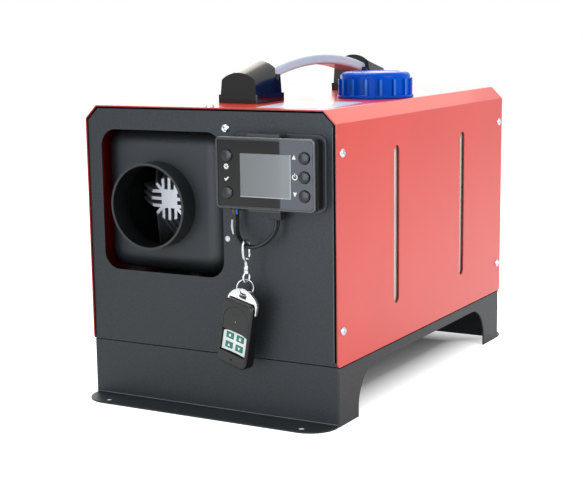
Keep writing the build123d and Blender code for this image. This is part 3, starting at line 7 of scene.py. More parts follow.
import bmesh
import bpy
from bmesh.types import BMEdge, BMFace, BMVert
from bpy.props import FloatProperty, FloatVectorProperty, IntProperty, PointerProperty
from bpy.types import Operator, Panel, PropertyGroup
from mathutils import Matrix, Vector


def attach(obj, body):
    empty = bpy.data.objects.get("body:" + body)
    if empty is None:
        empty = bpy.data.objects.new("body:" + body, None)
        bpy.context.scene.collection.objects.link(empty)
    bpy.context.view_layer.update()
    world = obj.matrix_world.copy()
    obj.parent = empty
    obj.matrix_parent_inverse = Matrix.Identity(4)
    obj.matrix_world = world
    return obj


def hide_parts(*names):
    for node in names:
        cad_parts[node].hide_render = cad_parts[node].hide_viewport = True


bl_info = {
    "name": "Diesel air heater",
    "version": (1, 0, 0),
    "blender": (4, 5, 0),
    "location": "3D View > Sidebar > Heater",
    "description": "Builds the dressed diesel air heater round its packed frame",
    "category": "Object",
}

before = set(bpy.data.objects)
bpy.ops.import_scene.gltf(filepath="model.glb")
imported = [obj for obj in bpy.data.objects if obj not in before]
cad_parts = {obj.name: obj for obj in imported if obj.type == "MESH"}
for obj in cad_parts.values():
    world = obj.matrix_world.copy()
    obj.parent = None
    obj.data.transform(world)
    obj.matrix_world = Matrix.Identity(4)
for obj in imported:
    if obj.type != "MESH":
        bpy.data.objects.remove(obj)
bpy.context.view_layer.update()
MM = 0.001
# points nearer than this are joined
SAME_SPOT = 0.0001 * MM
X, Y, Z = (1, 0, 0), (0, 1, 0), (0, 0, 1)
# places in the frame, in millimetres
FRONT = -194.5
TOP = 276.6
CASE_HALF = 131.0
COLLAR_AXIS = (-63.0, 185.0)
COLLAR_BORE = 37.9


# ---- colours and nodes
def linear(code):
    """An sRGB hex colour as linear RGBA."""
    values = [int(code[i:i + 2], 16) / 255 for i in (1, 3, 5)]
    return (*[v / 12.92 if v <= 0.04045 else ((v + 0.055) / 1.055) ** 2.4 for v in values], 1.0)


def shade(colour, factor):
    """A linear colour made darker or paler by a factor."""
    return (*[min(1, v * factor) for v in colour[:3]], 1.0)


def add_node(tree, kind, inputs=None, **settings):
    """Adds a node with its settings, and its values or links by input name, and gives its outputs."""
    made = tree.nodes.new("ShaderNode" + kind)
    for name, value in settings.items():
        setattr(made, name, value)
    for name, value in (inputs or {}).items():
        if isinstance(value, bpy.types.NodeSocket):
            tree.links.new(value, made.inputs[name])
        else:
            made.inputs[name].default_value = value
    return made.outputs


def new_material(name, **shader):
    """A material and its tree and shader, with values set on the shader's own sockets."""
    made = bpy.data.materials.new(name)
    made.use_nodes = True
    body = made.node_tree.nodes["Principled BSDF"]
    for key, value in shader.items():
        body.inputs[key.replace("_", " ")].default_value = value
    return made, made.node_tree, body


def feed(body, **sources):
    """Links outputs to a shader's own sockets, by name."""
    for key, source in sources.items():
        body.id_data.links.new(source, body.inputs[key.replace("_", " ")])


def own_axes(tree):
    """The piece's own coordinates, an output for each axis."""
    place = add_node(tree, "TexCoord")
    return add_node(tree, "SeparateXYZ", {"Vector": place["Object"]})


def grain(tree, size_mm, detail=2.0, roughness=0.5, stretch=(1, 1, 1)):
    """Noise on the piece's own coordinates, with features of about size_mm, longer where stretch is below 1."""
    place = add_node(tree, "TexCoord")
    drawn = add_node(tree, "Mapping", {"Vector": place["Object"], "Scale": stretch})
    noise = {"Vector": drawn["Vector"], "Scale": 1 / (size_mm * MM), "Detail": detail, "Roughness": roughness}
    return add_node(tree, "TexNoise", noise)["Fac"]


def drift(tree, source, low, high, start=0.3, stop=0.7):
    """From low to high, two numbers or two colours, as the source goes from start to stop."""
    plain = isinstance(high, (int, float))
    limits = {"From Min": start, "From Max": stop, "To Min": low if plain else 0, "To Max": high if plain else 1}
    share = add_node(tree, "MapRange", {"Value": source, **limits})["Result"]
    if plain:
        return share
    return add_node(tree, "Mix", {"Factor": share, "A": low, "B": high}, data_type="RGBA")["Result"]


def seen_directly(tree, mirrored):
    """1 for the camera's rays and rays through clear pieces, mirrored for reflections and 0 for soft light."""
    rays = add_node(tree, "LightPath")
    shown = add_node(tree, "Math", {0: rays["Is Glossy Ray"], 1: mirrored}, operation="MULTIPLY")["Value"]
    for ray in ("Is Transmission Ray", "Is Camera Ray"):
        shown = add_node(tree, "Math", {0: shown, 1: rays[ray]}, operation="MAXIMUM")["Value"]
    return shown


def relief(tree, body, height, depth_mm, strength):
    """Bump from a height pattern of about depth_mm."""
    bump = add_node(tree, "Bump", {"Height": height, "Strength": strength, "Distance": depth_mm * MM})
    feed(body, Normal=bump["Normal"])


# ---- placements and outlines
def at(x, depth, z):
    """A point from millimetres across, behind the front panel and above the floor, in metres."""
    return Vector((x, FRONT + depth, z)) * MM


def facing(across, up, origin):
    """A placement whose X and Y run along across and up and whose +Z faces outwards."""
    across, up = Vector(across).normalized(), Vector(up).normalized()
    axes = Matrix((across, up, across.cross(up))).transposed()
    return Matrix.Translation(origin) @ axes.to_4x4()


def front_place(x, depth, z):
    """A placement on the front: X across, Y up, +Z towards the viewer."""
    return facing(X, Z, at(x, depth, z))


def round_points(radius, count, centre=(0, 0), start=0.0, turn=360.0):
    """Points on an arc, in millimetres."""
    steps = count if abs(turn) >= 360 else count - 1
    angles = [math.radians(start + turn * i / steps) for i in range(count)]
    return [(centre[0] + radius * math.cos(a), centre[1] + radius * math.sin(a)) for a in angles]


def box_points(width, height, corner=0.0, centre=(0, 0), count=6):
    """A rectangle's points, with rounded corners if corner is given, in millimetres."""
    points = []
    for quarter, (sx, sy) in enumerate(((1, 1), (-1, 1), (-1, -1), (1, -1))):
        middle = (centre[0] + sx * (width / 2 - corner), centre[1] + sy * (height / 2 - corner))
        points += round_points(corner, count, middle, 90 * quarter, 90) if corner else [middle]
    return points


# ---- meshes and wires
def corners_of(mesh, points, place):
    """Vertices at 2D points, in millimetres, on a placement's plane."""
    return [mesh.verts.new(place @ Vector((x * MM, y * MM, 0))) for x, y in points]


def closed_loop(mesh, corners):
    """The closed loop of edges through vertices."""
    return [mesh.edges.new(pair) for pair in zip(corners, corners[1:] + corners[:1])]


def only(made, kind):
    """The vertices, edges or faces that an operator made."""
    return [entry for entry in made["geom"] if isinstance(entry, kind)]


def plate(mesh, points, place, thickness_mm, bevel_mm=0.0, index=0, holes=()):
    """A flat plate with that outline and holes, thick along the placement's +Z, its front edge bevelled."""
    if holes:
        rim = [edge for outline in (points, *holes) for edge in closed_loop(mesh, corners_of(mesh, outline, place))]
        faces = only(bmesh.ops.triangle_fill(mesh, use_beauty=True, edges=rim), BMFace)
        if not faces:
            raise ValueError("the plate's outline could not be filled")
    else:
        faces = [mesh.faces.new(corners_of(mesh, points, place))]
    made = bmesh.ops.extrude_face_region(mesh, geom=faces)
    lift = place.to_3x3() @ Vector((0, 0, thickness_mm * MM))
    bmesh.ops.translate(mesh, verts=only(made, BMVert), vec=lift)
    lids = only(made, BMFace)
    for lid in lids:
        lid.material_index = index
    if bevel_mm:
        rim = [edge for lid in lids for edge in lid.edges if any(face not in lids for face in edge.link_faces)]
        bmesh.ops.bevel(mesh, geom=rim, offset=bevel_mm * MM, segments=3, profile=0.5, affect="EDGES", material=-1)


def turned(mesh, profile, place, steps):
    """Spins (radius, height) points, in millimetres, about the placement's Z."""
    spots = [mesh.verts.new(place @ Vector((radius * MM, 0, height * MM))) for radius, height in profile]
    lines = [mesh.edges.new(pair) for pair in zip(spots, spots[1:])]
    bmesh.ops.spin(
        mesh,
        geom=spots + lines,
        cent=place.translation,
        axis=place.to_3x3() @ Vector(Z),
        angle=2 * math.pi,
        steps=steps,
        use_merge=True,
    )


def placed(name, data, *materials):
    """An object at the origin, with its materials."""
    for material in materials:
        data.materials.append(material)
    made = bpy.data.objects.new(name, data)
    bpy.context.scene.collection.objects.link(made)
    return made


def from_mesh(name, mesh, *materials):
    """An object made of a bmesh, which is freed."""
    data = bpy.data.meshes.new(name)
    mesh.to_mesh(data)
    mesh.free()
    return placed(name, data, *materials)


def carry(piece, body, replaced):
    """Ties a piece to its body and hides the CAD nodes that it replaces."""
    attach(piece, body)
    if replaced:
        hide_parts(*replaced)


def keep(mesh, name, body, material, replaced=(), angle=35):
    """Turns a bmesh into a finished piece that rides on a body, with edges sharp from an angle in degrees."""
    bmesh.ops.remove_doubles(mesh, verts=mesh.verts, dist=SAME_SPOT)
    bmesh.ops.recalc_face_normals(mesh, faces=mesh.faces)
    for face in mesh.faces:
        face.smooth = True
    for edge in mesh.edges:
        edge.smooth = len(edge.link_faces) == 2 and edge.calc_face_angle(0) < math.radians(angle)
    materials = material if isinstance(material, list) else [material]
    carry(from_mesh(name, mesh, *materials), body, replaced)


def stroke(name, points, radii, body, material, replaced=(), unit=MM, rings=5, steps=10):
    """A round wire or cord through points in metres that rides on a body, with a radius at each in units."""
    curve = bpy.data.curves.new(name, "CURVE")
    curve.dimensions = "3D"
    curve.bevel_depth = unit
    curve.bevel_resolution = rings
    curve.use_fill_caps = True
    line = curve.splines.new("NURBS")
    line.points.add(len(points) - 1)
    for spot, place, radius in zip(line.points, points, radii):
        spot.co = (*place, 1.0)
        spot.radius = radius
    line.order_u = 3
    line.use_endpoint_u = True
    line.resolution_u = steps
    wire = placed(name, curve, material)
    carry(wire, body, replaced)
    return wire


# ---- sizes and colours
def length_property(name, value_mm, description):
    """A length that is typed in millimetres here and kept in metres."""
    return FloatProperty(name=name, description=description, default=value_mm * MM, unit="LENGTH")


def colour_property(name, code, description):
    """A colour picker whose default is an sRGB hex value."""
    return FloatVectorProperty(
        name=name, description=description, subtype="COLOR", size=4, min=0, max=1, default=linear(code)
    )


class HeaterSizes(PropertyGroup):
    """Sizes a user may change."""

    cable_diameter: length_property("Cable diameter", 3.2, "Outside diameter of each controller lead")
    lead_diameter: length_property("Wire diameter", 1.3, "Outside diameter of the bare wires behind the controller")
    cap_ribs: IntProperty(name="Cap ribs", description="Grip ribs round the filler cap", default=16, min=8)
    label_height: length_property("Label height", 0.15, "Thickness of the blank label on the lid")
    floor_size: length_property("Floor size", 8000, "Edge of the floor")


class HeaterColours(PropertyGroup):
    """Colours a user may change."""

    enamel: colour_property("Enamel", "#E0301F", "Cover of the case")
    powder: colour_property("Powder coat", "#23292C", "Front panel, rear panel and base")
    cap: colour_property("Filler cap", "#0050C6", "Moulded filler cap")
    grip: colour_property("Grip", "#B9CBDC", "Carrying grip")
    keys: colour_property("Fob keys", "#0E8A76", "Keys of the fob")
    floor: colour_property("Floor", "#F4F4F4", "Floor and backdrop")


# ---- materials
# the inside of the cover, where shade is painted, in metres: below these values of |x|, z and |x| + z
INSIDE_WALL, INSIDE_LID, INSIDE_CHAMFER = 0.1302, 0.2758, 0.3942
# the display from left to right, in metres, over which it is painted paler: a painted reflection
DISPLAY_REACH = (0.046, 0.096)
# in millimetres
POWDER_GRIT = 0.9
BORE_SHADE_EDGE = 0.3


def gloss_enamel(colour):
    """Oven-baked gloss enamel on sheet steel: deep red with a clear, faintly rippled skin."""
    made, tree, body = new_material(
        "baked_gloss_enamel", Roughness=0.28, IOR=1.5, Coat_Weight=0.25, Coat_Roughness=0.06, Coat_IOR=1.5
    )
    # slow drift of the pigment, about a hand wide
    skin = drift(tree, grain(tree, 90), colour, shade(colour, 0.93))
    # the inside of the cover is painted dark red: a painted shade inside the case
    axes = own_axes(tree)
    across = add_node(tree, "Math", {0: axes["X"]}, operation="ABSOLUTE")["Value"]
    slant = add_node(tree, "Math", {0: across, 1: axes["Z"]}, operation="ADD")["Value"]
    shaded_inside = 1.0
    for value, limit in ((across, INSIDE_WALL), (axes["Z"], INSIDE_LID), (slant, INSIDE_CHAMFER)):
        under = add_node(tree, "Math", {0: value, 1: limit}, operation="LESS_THAN")["Value"]
        shaded_inside = add_node(tree, "Math", {0: under, 1: shaded_inside}, operation="MULTIPLY")["Value"]
    feed(body, Base_Color=drift(tree, shaded_inside, skin, shade(colour, 0.3), 0, 1))
    # orange peel of sprayed enamel, ripples 4 mm apart
    relief(tree, body, grain(tree, 4, 1), 0.02, 0.35)
    return made


def textured_powder(colour):
    """Fine-texture polyester powder coat: a satin dark grey, with a leathery grit that breaks the highlights."""
    made, tree, body = new_material("textured_powder_coat", IOR=1.5, Specular_IOR_Level=0.4)
    # the real grit is 0.3 mm: drawn coarser, so that it shows
    grit = grain(tree, POWDER_GRIT, 3, 0.6)
    speck = grain(tree, 2.4 * POWDER_GRIT, 2, 0.7)
    feed(body, Base_Color=drift(tree, speck, shade(colour, 0.72), shade(colour, 1.4)))
    feed(body, Roughness=drift(tree, grit, 0.38, 0.52))
    relief(tree, body, grit, 0.06, 0.35)
    return made


def moulded_plastic(name, colour, roughness, grit_mm, depth_mm, shift=0.12, **more):
    """Injection-moulded ABS, nylon or rubber: an even colour with a faint mould grain."""
    made, tree, body = new_material(name, IOR=1.5, **more)
    colour = linear(colour) if isinstance(colour, str) else tuple(colour)
    fine = grain(tree, grit_mm)
    feed(body, Base_Color=drift(tree, grain(tree, 25), colour, shade(colour, 1 + shift)))
    feed(body, Roughness=drift(tree, fine, roughness * 0.9, min(1, roughness * 1.15)))
    relief(tree, body, fine, depth_mm, 0.3)
    return made


def bare_metal(name, code, roughness, grit_mm, depth_mm=0.01, stretch=(1, 1, 1)):
    """Plated, cast or drawn metal: bright, with roughness that drifts and a fine tool or sand grain."""
    made, tree, body = new_material(name, Metallic=1.0)
    fine = grain(tree, grit_mm, 3, stretch=stretch)
    feed(body, Base_Color=drift(tree, fine, linear(code), shade(linear(code), 0.82)))
    feed(body, Roughness=drift(tree, fine, roughness * 0.8, roughness * 1.3))
    relief(tree, body, fine, depth_mm, 0.4)
    return made


def matt_colour_and_painted_glow(name, code, glow=0.0):
    """A flat, matt colour, a little uneven, for print and for painted highlights; any glow it is given is a painted
    glow.
    """
    colour = linear(code)
    made, tree, body = new_material(name, Roughness=0.55, Emission_Color=colour, Emission_Strength=glow)
    feed(body, Base_Color=drift(tree, grain(tree, 2.5), colour, shade(colour, 0.9)))
    return made


def bore_shaded_nylon():
    """Heat-stable nylon: a matt dark grey, painted nearly black inside the collar's bore as painted shade of the
    deep opening.
    """
    made = moulded_plastic("heat_stable_nylon", "#1E2325", 0.5, 0.8, 0.06)
    tree = made.node_tree
    body = tree.nodes["Principled BSDF"]
    plain = body.inputs["Base Color"].links[0].from_socket
    axes = own_axes(tree)
    flat = add_node(tree, "CombineXYZ", {"X": axes["X"], "Z": axes["Z"]})
    x, z = COLLAR_AXIS
    ends = {0: flat["Vector"], 1: (x * MM, 0, z * MM)}
    away = add_node(tree, "VectorMath", ends, operation="DISTANCE")["Value"]
    # the face seen through the collar's bore is painted nearly black: painted shade in the opening
    shaded_bore = drift(tree, away, 1, 0, (COLLAR_BORE - BORE_SHADE_EDGE) * MM, (COLLAR_BORE + BORE_SHADE_EDGE) * MM)
    feed(body, Base_Color=drift(tree, shaded_bore, plain, linear("#070809"), 0, 1))
    feed(body, Specular_IOR_Level=drift(tree, shaded_bore, 0.5, 0.15, 0, 1))
    return made


def clear_tube():
    """Soft clear fuel hose: greenish, with a wet look."""
    made, tree, body = new_material("clear_fuel_hose", IOR=1.45, Transmission_Weight=0.6, Roughness=0.12)
    feed(body, Base_Color=drift(tree, grain(tree, 8), linear("#D8DCC8"), linear("#C6CDB2")))
    return made


def tank_polyethylene():
    """Blow-moulded polyethylene: milky white, waxy, with soft flow lines."""
    made, tree, body = new_material(
        "blow_moulded_polyethylene", IOR=1.5, Subsurface_Weight=0.25, Subsurface_Radius=(0.01, 0.01, 0.01)
    )
    flow = grain(tree, 30, 3)
    feed(body, Base_Color=drift(tree, flow, linear("#EDEEEA"), linear("#DFE2DC")))
    feed(body, Roughness=drift(tree, flow, 0.32, 0.48))
    relief(tree, body, grain(tree, 2), 0.03, 0.3)
    return made


def display_glass():
    """Dead liquid-crystal display: grey-green under glass, painted a little paler towards the right as a painted
    reflection.
    """
    made, tree, body = new_material("liquid_crystal_display", Roughness=0.18, IOR=1.5, Coat_Weight=0.2)
    left, right = linear("#7B8183"), linear("#83898B")
    feed(body, Base_Color=drift(tree, own_axes(tree)["X"], left, right, *DISPLAY_REACH))
    relief(tree, body, grain(tree, 1.5, 1), 0.005, 0.2)
    return made


# ---- stage
# name, place, aim, width and height in metres, and watts
LAMPS = (
    ("key_right", (2.2, -0.7, 1.4), (0, 0, 0.15), (1.4, 1.4), 25),
    ("top_soft", (-0.6, 0.4, 2.2), (0, 0, 0.2), (1.4, 1.4), 30),
    ("front_left", (-1.6, -2.0, 1.4), (0, -0.1, 0.15), (1.2, 1.2), 3),
    ("rim_left", (-1.35, 1.3, 0.42), (0, 0, 0.27), (1.3, 0.4), 2.05),
    ("rim_back", (-0.74, 1.86, 0.42), (0, 0, 0.27), (0.42, 0.4), 0.6),
)
# name, depth, reach across and upwards in millimetres, strength and tones: the front card lights the display,
# the back cards the mount roofs and the chamfer
CARDS = (
    ("front_card", -1100, (-416, 500), (-60, 800), 4.6, ("#E8F0FF", "#DDE8FA")),
    ("back_card_left", 1600, (-1300, -250), (850, 2000), 3.4, ("#FFF8F0", "#FAF2EA")),
    ("back_card_right", 1600, (-250, 500), (850, 2000), 1.9, ("#FFF8F0", "#FAF2EA")),
)
# half of the dark patch under the base, how far past it the paper's glow grows, and the full glow
DARK_HALF = (0.084, 0.150)
GLOW_REACH, PAPER_GLOW = 0.044, 0.75
# what reflections see of the white paper and room, and the room's own light
PAPER_MIRRORED, ROOM_MIRRORED, ROOM_LIGHT = 0.35, 0.75, 0.55
WHITE = linear("#FFFFFF")
# the camera: place in metres, turns in radians, lens in millimetres for a 36 mm sensor
CAMERA_PLACE = (0.6571, -1.2225, 0.3527)
YAW, PITCH, ROLL = 0.5198, 0.1824, -0.0148
LENS, SHIFT = 84.77, (0.02835, 0.03758)


class HEATER_OT_stage(Operator):
    """Lays the floor and backdrop, and sets the lights and the camera"""

    bl_idname = "heater.stage"
    bl_label = "Stage"

    def execute(self, context):
        scene = context.scene
        mesh = bmesh.new()
        bmesh.ops.create_grid(mesh, x_segments=1, y_segments=1, size=scene.heater_sizes.floor_size / 2)
        from_mesh("floor", mesh, self.floor_material(scene.heater_colours.floor))
        self.light_world(scene)
        for lamp in LAMPS:
            self.light(*lamp)
        for card in CARDS:
            self.reflector(*card)
        self.set_camera(scene)
        scene.view_settings.view_transform = "Standard"
        return {"FINISHED"}

    def light(self, name, place, aim, size, power):
        """A rectangular lamp that faces its aim and stays out of the camera's sight."""
        lamp = bpy.data.lights.new(name, "AREA")
        lamp.shape = "RECTANGLE"
        lamp.size, lamp.size_y = size
        lamp.energy = power
        stand = placed(name, lamp)
        stand.location = place
        stand.rotation_euler = (Vector(aim) - Vector(place)).to_track_quat("-Z", "Y").to_euler()
        stand.visible_camera = False

    def reflector(self, name, depth, reach_x, reach_z, strength, tones):
        """A standing card of lit cloth, seen only in reflections."""
        mesh = bmesh.new()
        (left, right), (low, high) = reach_x, reach_z
        outline = [(left, low), (right, low), (right, high), (left, high)]
        mesh.faces.new(corners_of(mesh, outline, facing(X, Z, (0, depth * MM, 0))))
        made, tree, _ = new_material(name + "_cloth")
        weave = drift(tree, grain(tree, 4), *[linear(code) for code in tones])
        lit = add_node(tree, "Emission", {"Color": weave, "Strength": strength})
        feed(tree.nodes["Material Output"], Surface=lit["Emission"])
        card = from_mesh(name, mesh, made)
        for ray in ("camera", "diffuse", "transmission", "volume_scatter", "shadow"):
            setattr(card, "visible_" + ray, False)

    def floor_material(self, colour):
        """Studio paper: white to the camera, with the object's shadow kept."""
        made, tree, body = new_material("studio_paper", Roughness=0.9, Specular_IOR_Level=0.0)
        feed(body, Base_Color=drift(tree, grain(tree, 3), tuple(colour), shade(colour, 0.99)))
        # the paper is lit up to white only outside the footprint, so the shadow under the base stays
        axes = own_axes(tree)
        reach = {}
        for number, (axis, half) in enumerate(zip("XY", DARK_HALF)):
            size = add_node(tree, "Math", {0: axes[axis]}, operation="ABSOLUTE")["Value"]
            reach[number] = add_node(tree, "Math", {0: size, 1: half}, operation="SUBTRACT")["Value"]
        outside = add_node(tree, "Math", reach, operation="MAXIMUM")["Value"]
        glow = drift(tree, outside, 0.0, PAPER_GLOW, 0.0, GLOW_REACH)
        lit = add_node(tree, "Emission", {"Color": WHITE, "Strength": glow})
        added = add_node(tree, "AddShader", {0: body.outputs["BSDF"], 1: lit["Emission"]})
        ways = {0: seen_directly(tree, PAPER_MIRRORED), 1: body.outputs["BSDF"], 2: added["Shader"]}
        mixed = add_node(tree, "MixShader", ways)
        feed(tree.nodes["Material Output"], Surface=mixed["Shader"])
        return made

    def light_world(self, scene):
        """White surroundings: full white to the camera, and dimmer as a light and in reflections."""
        world = bpy.data.worlds.new("studio_room")
        scene.world = world
        world.use_nodes = True
        tree = world.node_tree
        tree.nodes.clear()
        ways = {0: seen_directly(tree, ROOM_MIRRORED)}
        for number, strength in enumerate((ROOM_LIGHT, 1.0), start=1):
            sky = add_node(tree, "Background", {"Color": WHITE, "Strength": strength})
            ways[number] = sky["Background"]
        mixed = add_node(tree, "MixShader", ways)
        add_node(tree, "OutputWorld", {"Surface": mixed["Shader"]})

    def set_camera(self, scene):
        """The photograph's view: from the front right, a little above, with a long lens."""
        lens = bpy.data.cameras.new("camera")
        lens.lens = LENS
        lens.shift_x, lens.shift_y = SHIFT
        scene.camera = placed("camera", lens)
        turn = Matrix.Rotation(YAW, 4, "Z") @ Matrix.Rotation(math.pi / 2 - PITCH, 4, "X")
        scene.camera.matrix_world = Matrix.Translation(CAMERA_PLACE) @ turn @ Matrix.Rotation(ROLL, 4, "Z")


# ---- controller leads
CABLE_ROUTE = [
    (35.6, -8.8, 188.75), (35.6, -8.8, 178.5), (38.4, -13.6, 167.5), (46.0, -17.4, 159.8),
    (57.0, -18.6, 157.4), (67.2, -16.6, 161.0), (74.4, -12.6, 168.0), (76.8, -9.0, 175.5),
    (76.8, -9.0, 182.15),
]
LEAD_OFFSET = 1.8


class HEATER_OT_leads(Operator):
    """Runs the controller's two rubber leads in their loop"""

    bl_idname = "heater.leads"
    bl_label = "Controller leads"

    def execute(self, context):
        diameter = context.scene.heater_sizes.cable_diameter
        dark_finish = moulded_plastic("soft_rubber_sleeve", "#090A0B", 0.38, 0.8, 0.03, Specular_IOR_Level=0.4)
        for name, side in (("controller_lead_a", -LEAD_OFFSET), ("controller_lead_b", LEAD_OFFSET)):
            route = [at(x, depth + side, z) for x, depth, z in CABLE_ROUTE]
            cable = ["controller_cable_" + name[-1]]
            lead = stroke(name, route, [1.0] * len(route), "case", dark_finish, cable, diameter / 2, 6, 16)
        return {"FINISHED"}


# ---- filler cap
CAP_SPOT = (79.5, 182.0, 276.9)
CAP_PROFILE = [
    (28.4, 0.0), (36.3, 0.0), (36.8, 0.5), (36.8, 2.1), (36.4, 2.6), (34.4, 2.6), (33.6, 3.4), (33.6, 19.6),
    (33.3, 21.4), (32.3, 22.9), (30.8, 23.9), (28.8, 24.4), (25.0, 24.4), (24.4, 24.0), (0.0, 24.0),
]
CAP_BORE = [(28.4, 0.0), (28.4, 19.5), (0.0, 19.5)]
CAP_STEPS = 96
RIB_FOOT, RIB_WIDTH, RIB_LENGTH, RIB_HEIGHT = 32.9, 2.6, 15.6, 10.2
RIB_DEPTH, RIB_ROUND = 3.1, 0.35


class HEATER_OT_filler_cap(Operator):
    """Turns the screw cap with its flange, rounded crown and grip ribs"""

    bl_idname = "heater.filler_cap"
    bl_label = "Filler cap"

    def execute(self, context):
        scene = context.scene
        count = scene.heater_sizes.cap_ribs
        mesh = bmesh.new()
        centre = Matrix.Translation(at(*CAP_SPOT))
        turned(mesh, CAP_PROFILE, centre, CAP_STEPS)
        turned(mesh, CAP_BORE, centre, CAP_STEPS)
        for rib in range(count):
            spoke = centre @ Matrix.Rotation(math.radians(360 * (rib + 0.5) / count), 4, "Z")
            foot = spoke @ facing(Y, Z, (RIB_FOOT * MM, 0, 0))
            plate(mesh, box_points(RIB_WIDTH, RIB_LENGTH, 0.0, (0, RIB_HEIGHT)), foot, RIB_DEPTH, RIB_ROUND, 1)
        colour = scene.heater_colours.cap
        # the crests of the ribs are painted paler: a painted highlight where they catch the light
        crest_highlight = shade((0.02, 2.2 * colour[1], 1.25 * colour[2]), 1)
        finish = [
            moulded_plastic("moulded_polypropylene", colour, 0.15, 0.9, 0.02, 0.05, Specular_IOR_Level=0.08),
            moulded_plastic("painted_rib_highlight", crest_highlight, 0.2, 0.9, 0.02, 0.05, Specular_IOR_Level=0.3),
        ]
        keep(mesh, "cap_moulding", "fuel_cap", finish, ["filler_cap"], 28)
        return {"FINISHED"}


# ---- screws and rivet
SIDE_SCREW_DEPTHS = (8.0, 381.0)
SIDE_SCREW_HEIGHTS = (85.5, 240.0)
PANEL_SCREW = (20.9, 0, 258.8)
PANEL_SCREW_TURN = 0.5
HEAD_RADIUS, HEAD_HEIGHT = 4.0, 2.3
# shares of the head's radius and height
HEAD_PROFILE = ((0.0, 0.0), (1.0, 0.0), (1.0, 0.3), (0.94, 0.55), (0.8, 0.8), (0.66, 1.0))
RECESS_REACH, RECESS_HALF, RECESS_FLOOR, RECESS_TAPER = 0.58, 0.15, 0.25, 0.5
RIVET_SPOT = (20.9, 0, 160.6)
RIVET_PROFILE = [(0, -0.3), (2.5, -0.3), (2.6, 0.0), (2.45, 0.5), (1.9, 0.9), (1.0, 1.15), (0, 1.25)]


def pan_head(mesh, place):
    """A pan head with a cross recess, standing on the placement's plane."""
    turned(mesh, [(across * HEAD_RADIUS, up * HEAD_HEIGHT) for across, up in HEAD_PROFILE], place, 32)
    rim = [edge for edge in mesh.edges if edge.is_boundary]
    arm, half = RECESS_REACH * HEAD_RADIUS, RECESS_HALF * HEAD_RADIUS
    quarter = [(arm, half), (half, half), (half, arm)]
    cross = []
    for _ in range(4):
        cross += quarter
        quarter = [(-y, x) for x, y in quarter]
    top = place @ Matrix.Translation((0, 0, HEAD_HEIGHT * MM))
    edges = closed_loop(mesh, corners_of(mesh, cross, top))
    bmesh.ops.triangle_fill(mesh, use_beauty=True, edges=rim + edges)
    made = bmesh.ops.extrude_edge_only(mesh, edges=edges)
    floor = place @ Matrix.Translation((0, 0, RECESS_FLOOR * HEAD_HEIGHT * MM))
    deep = floor @ Matrix.Scale(RECESS_TAPER, 4) @ top.inverted()
    bmesh.ops.transform(mesh, matrix=deep, verts=only(made, BMVert))
    bmesh.ops.contextual_create(mesh, geom=only(made, BMEdge))


class HEATER_OT_screws(Operator):
    """Sets the eleven pan-head screws and the rivet"""

    bl_idname = "heater.screws"
    bl_label = "Screws and rivet"

    def execute(self, context):
        plated = bare_metal("bright_zinc_plate", "#DDE6F0", 0.16, 0.6)
        mesh = bmesh.new()
        for depth in SIDE_SCREW_DEPTHS:
            for z in SIDE_SCREW_HEIGHTS:
                for side in (-1, 1):
                    pan_head(mesh, facing((0, side, 0), Z, at(side * CASE_HALF, depth, z)))
            pan_head(mesh, facing(X, Y, at(0, depth, TOP)))
        pan_head(mesh, front_place(*PANEL_SCREW) @ Matrix.Rotation(PANEL_SCREW_TURN, 4, "Z"))
        keep(mesh, "pan_head_screws", "case", plated, ["case_screws"], 40)
        mesh = bmesh.new()
        turned(mesh, RIVET_PROFILE, front_place(*RIVET_SPOT), 32)
        nylon = moulded_plastic("white_nylon_rivet", "#F4F6F7", 0.3, 0.8, 0.01)
        keep(mesh, "rivet_dome", "case", nylon, ["panel_rivet"])
        return {"FINISHED"}


# ---- panel edge and base fold
# the black sheet round the front panel's edge, its outer and then its inner outline: a painted shadow of the
# cover's rim
EDGE_SHADOW_OUTER = [(129.7, 58.4), (129.7, 263.8), (118.3, 275.2), (-118.3, 275.2), (-129.7, 263.8), (-129.7, 58.4)]
EDGE_SHADOW_INNER = [(-129.2, 58.4), (-129.2, 262.6), (-117.9, 273.7), (117.6, 273.7), (127.3, 264.0), (127.3, 58.4)]
# across, width, low and high end of the pale line on the panel's right fold, a painted highlight
PANEL_FOLD_HIGHLIGHT = (126.6, 0.5, 58.4, 262.0)
# thickness of the painted shadow and highlight sheets, in millimetres
PAINTED_SHEET_DEPTH = 0.3
# radius, depth and height of the pale line on the base's front fold, a painted highlight, and its gap at each side
BASE_FOLD_HIGHLIGHT = (0.35, -0.5, 2.9)
FOLD_GAP = 1
# low, high, inner and outer side of the black strip under the cover's hem, a painted shadow line
HEM_SHADOW = (52.9, 54.0, 129.9, 130.9)
HEM_MIDDLE, HEM_LENGTH = 195.0, 386.0


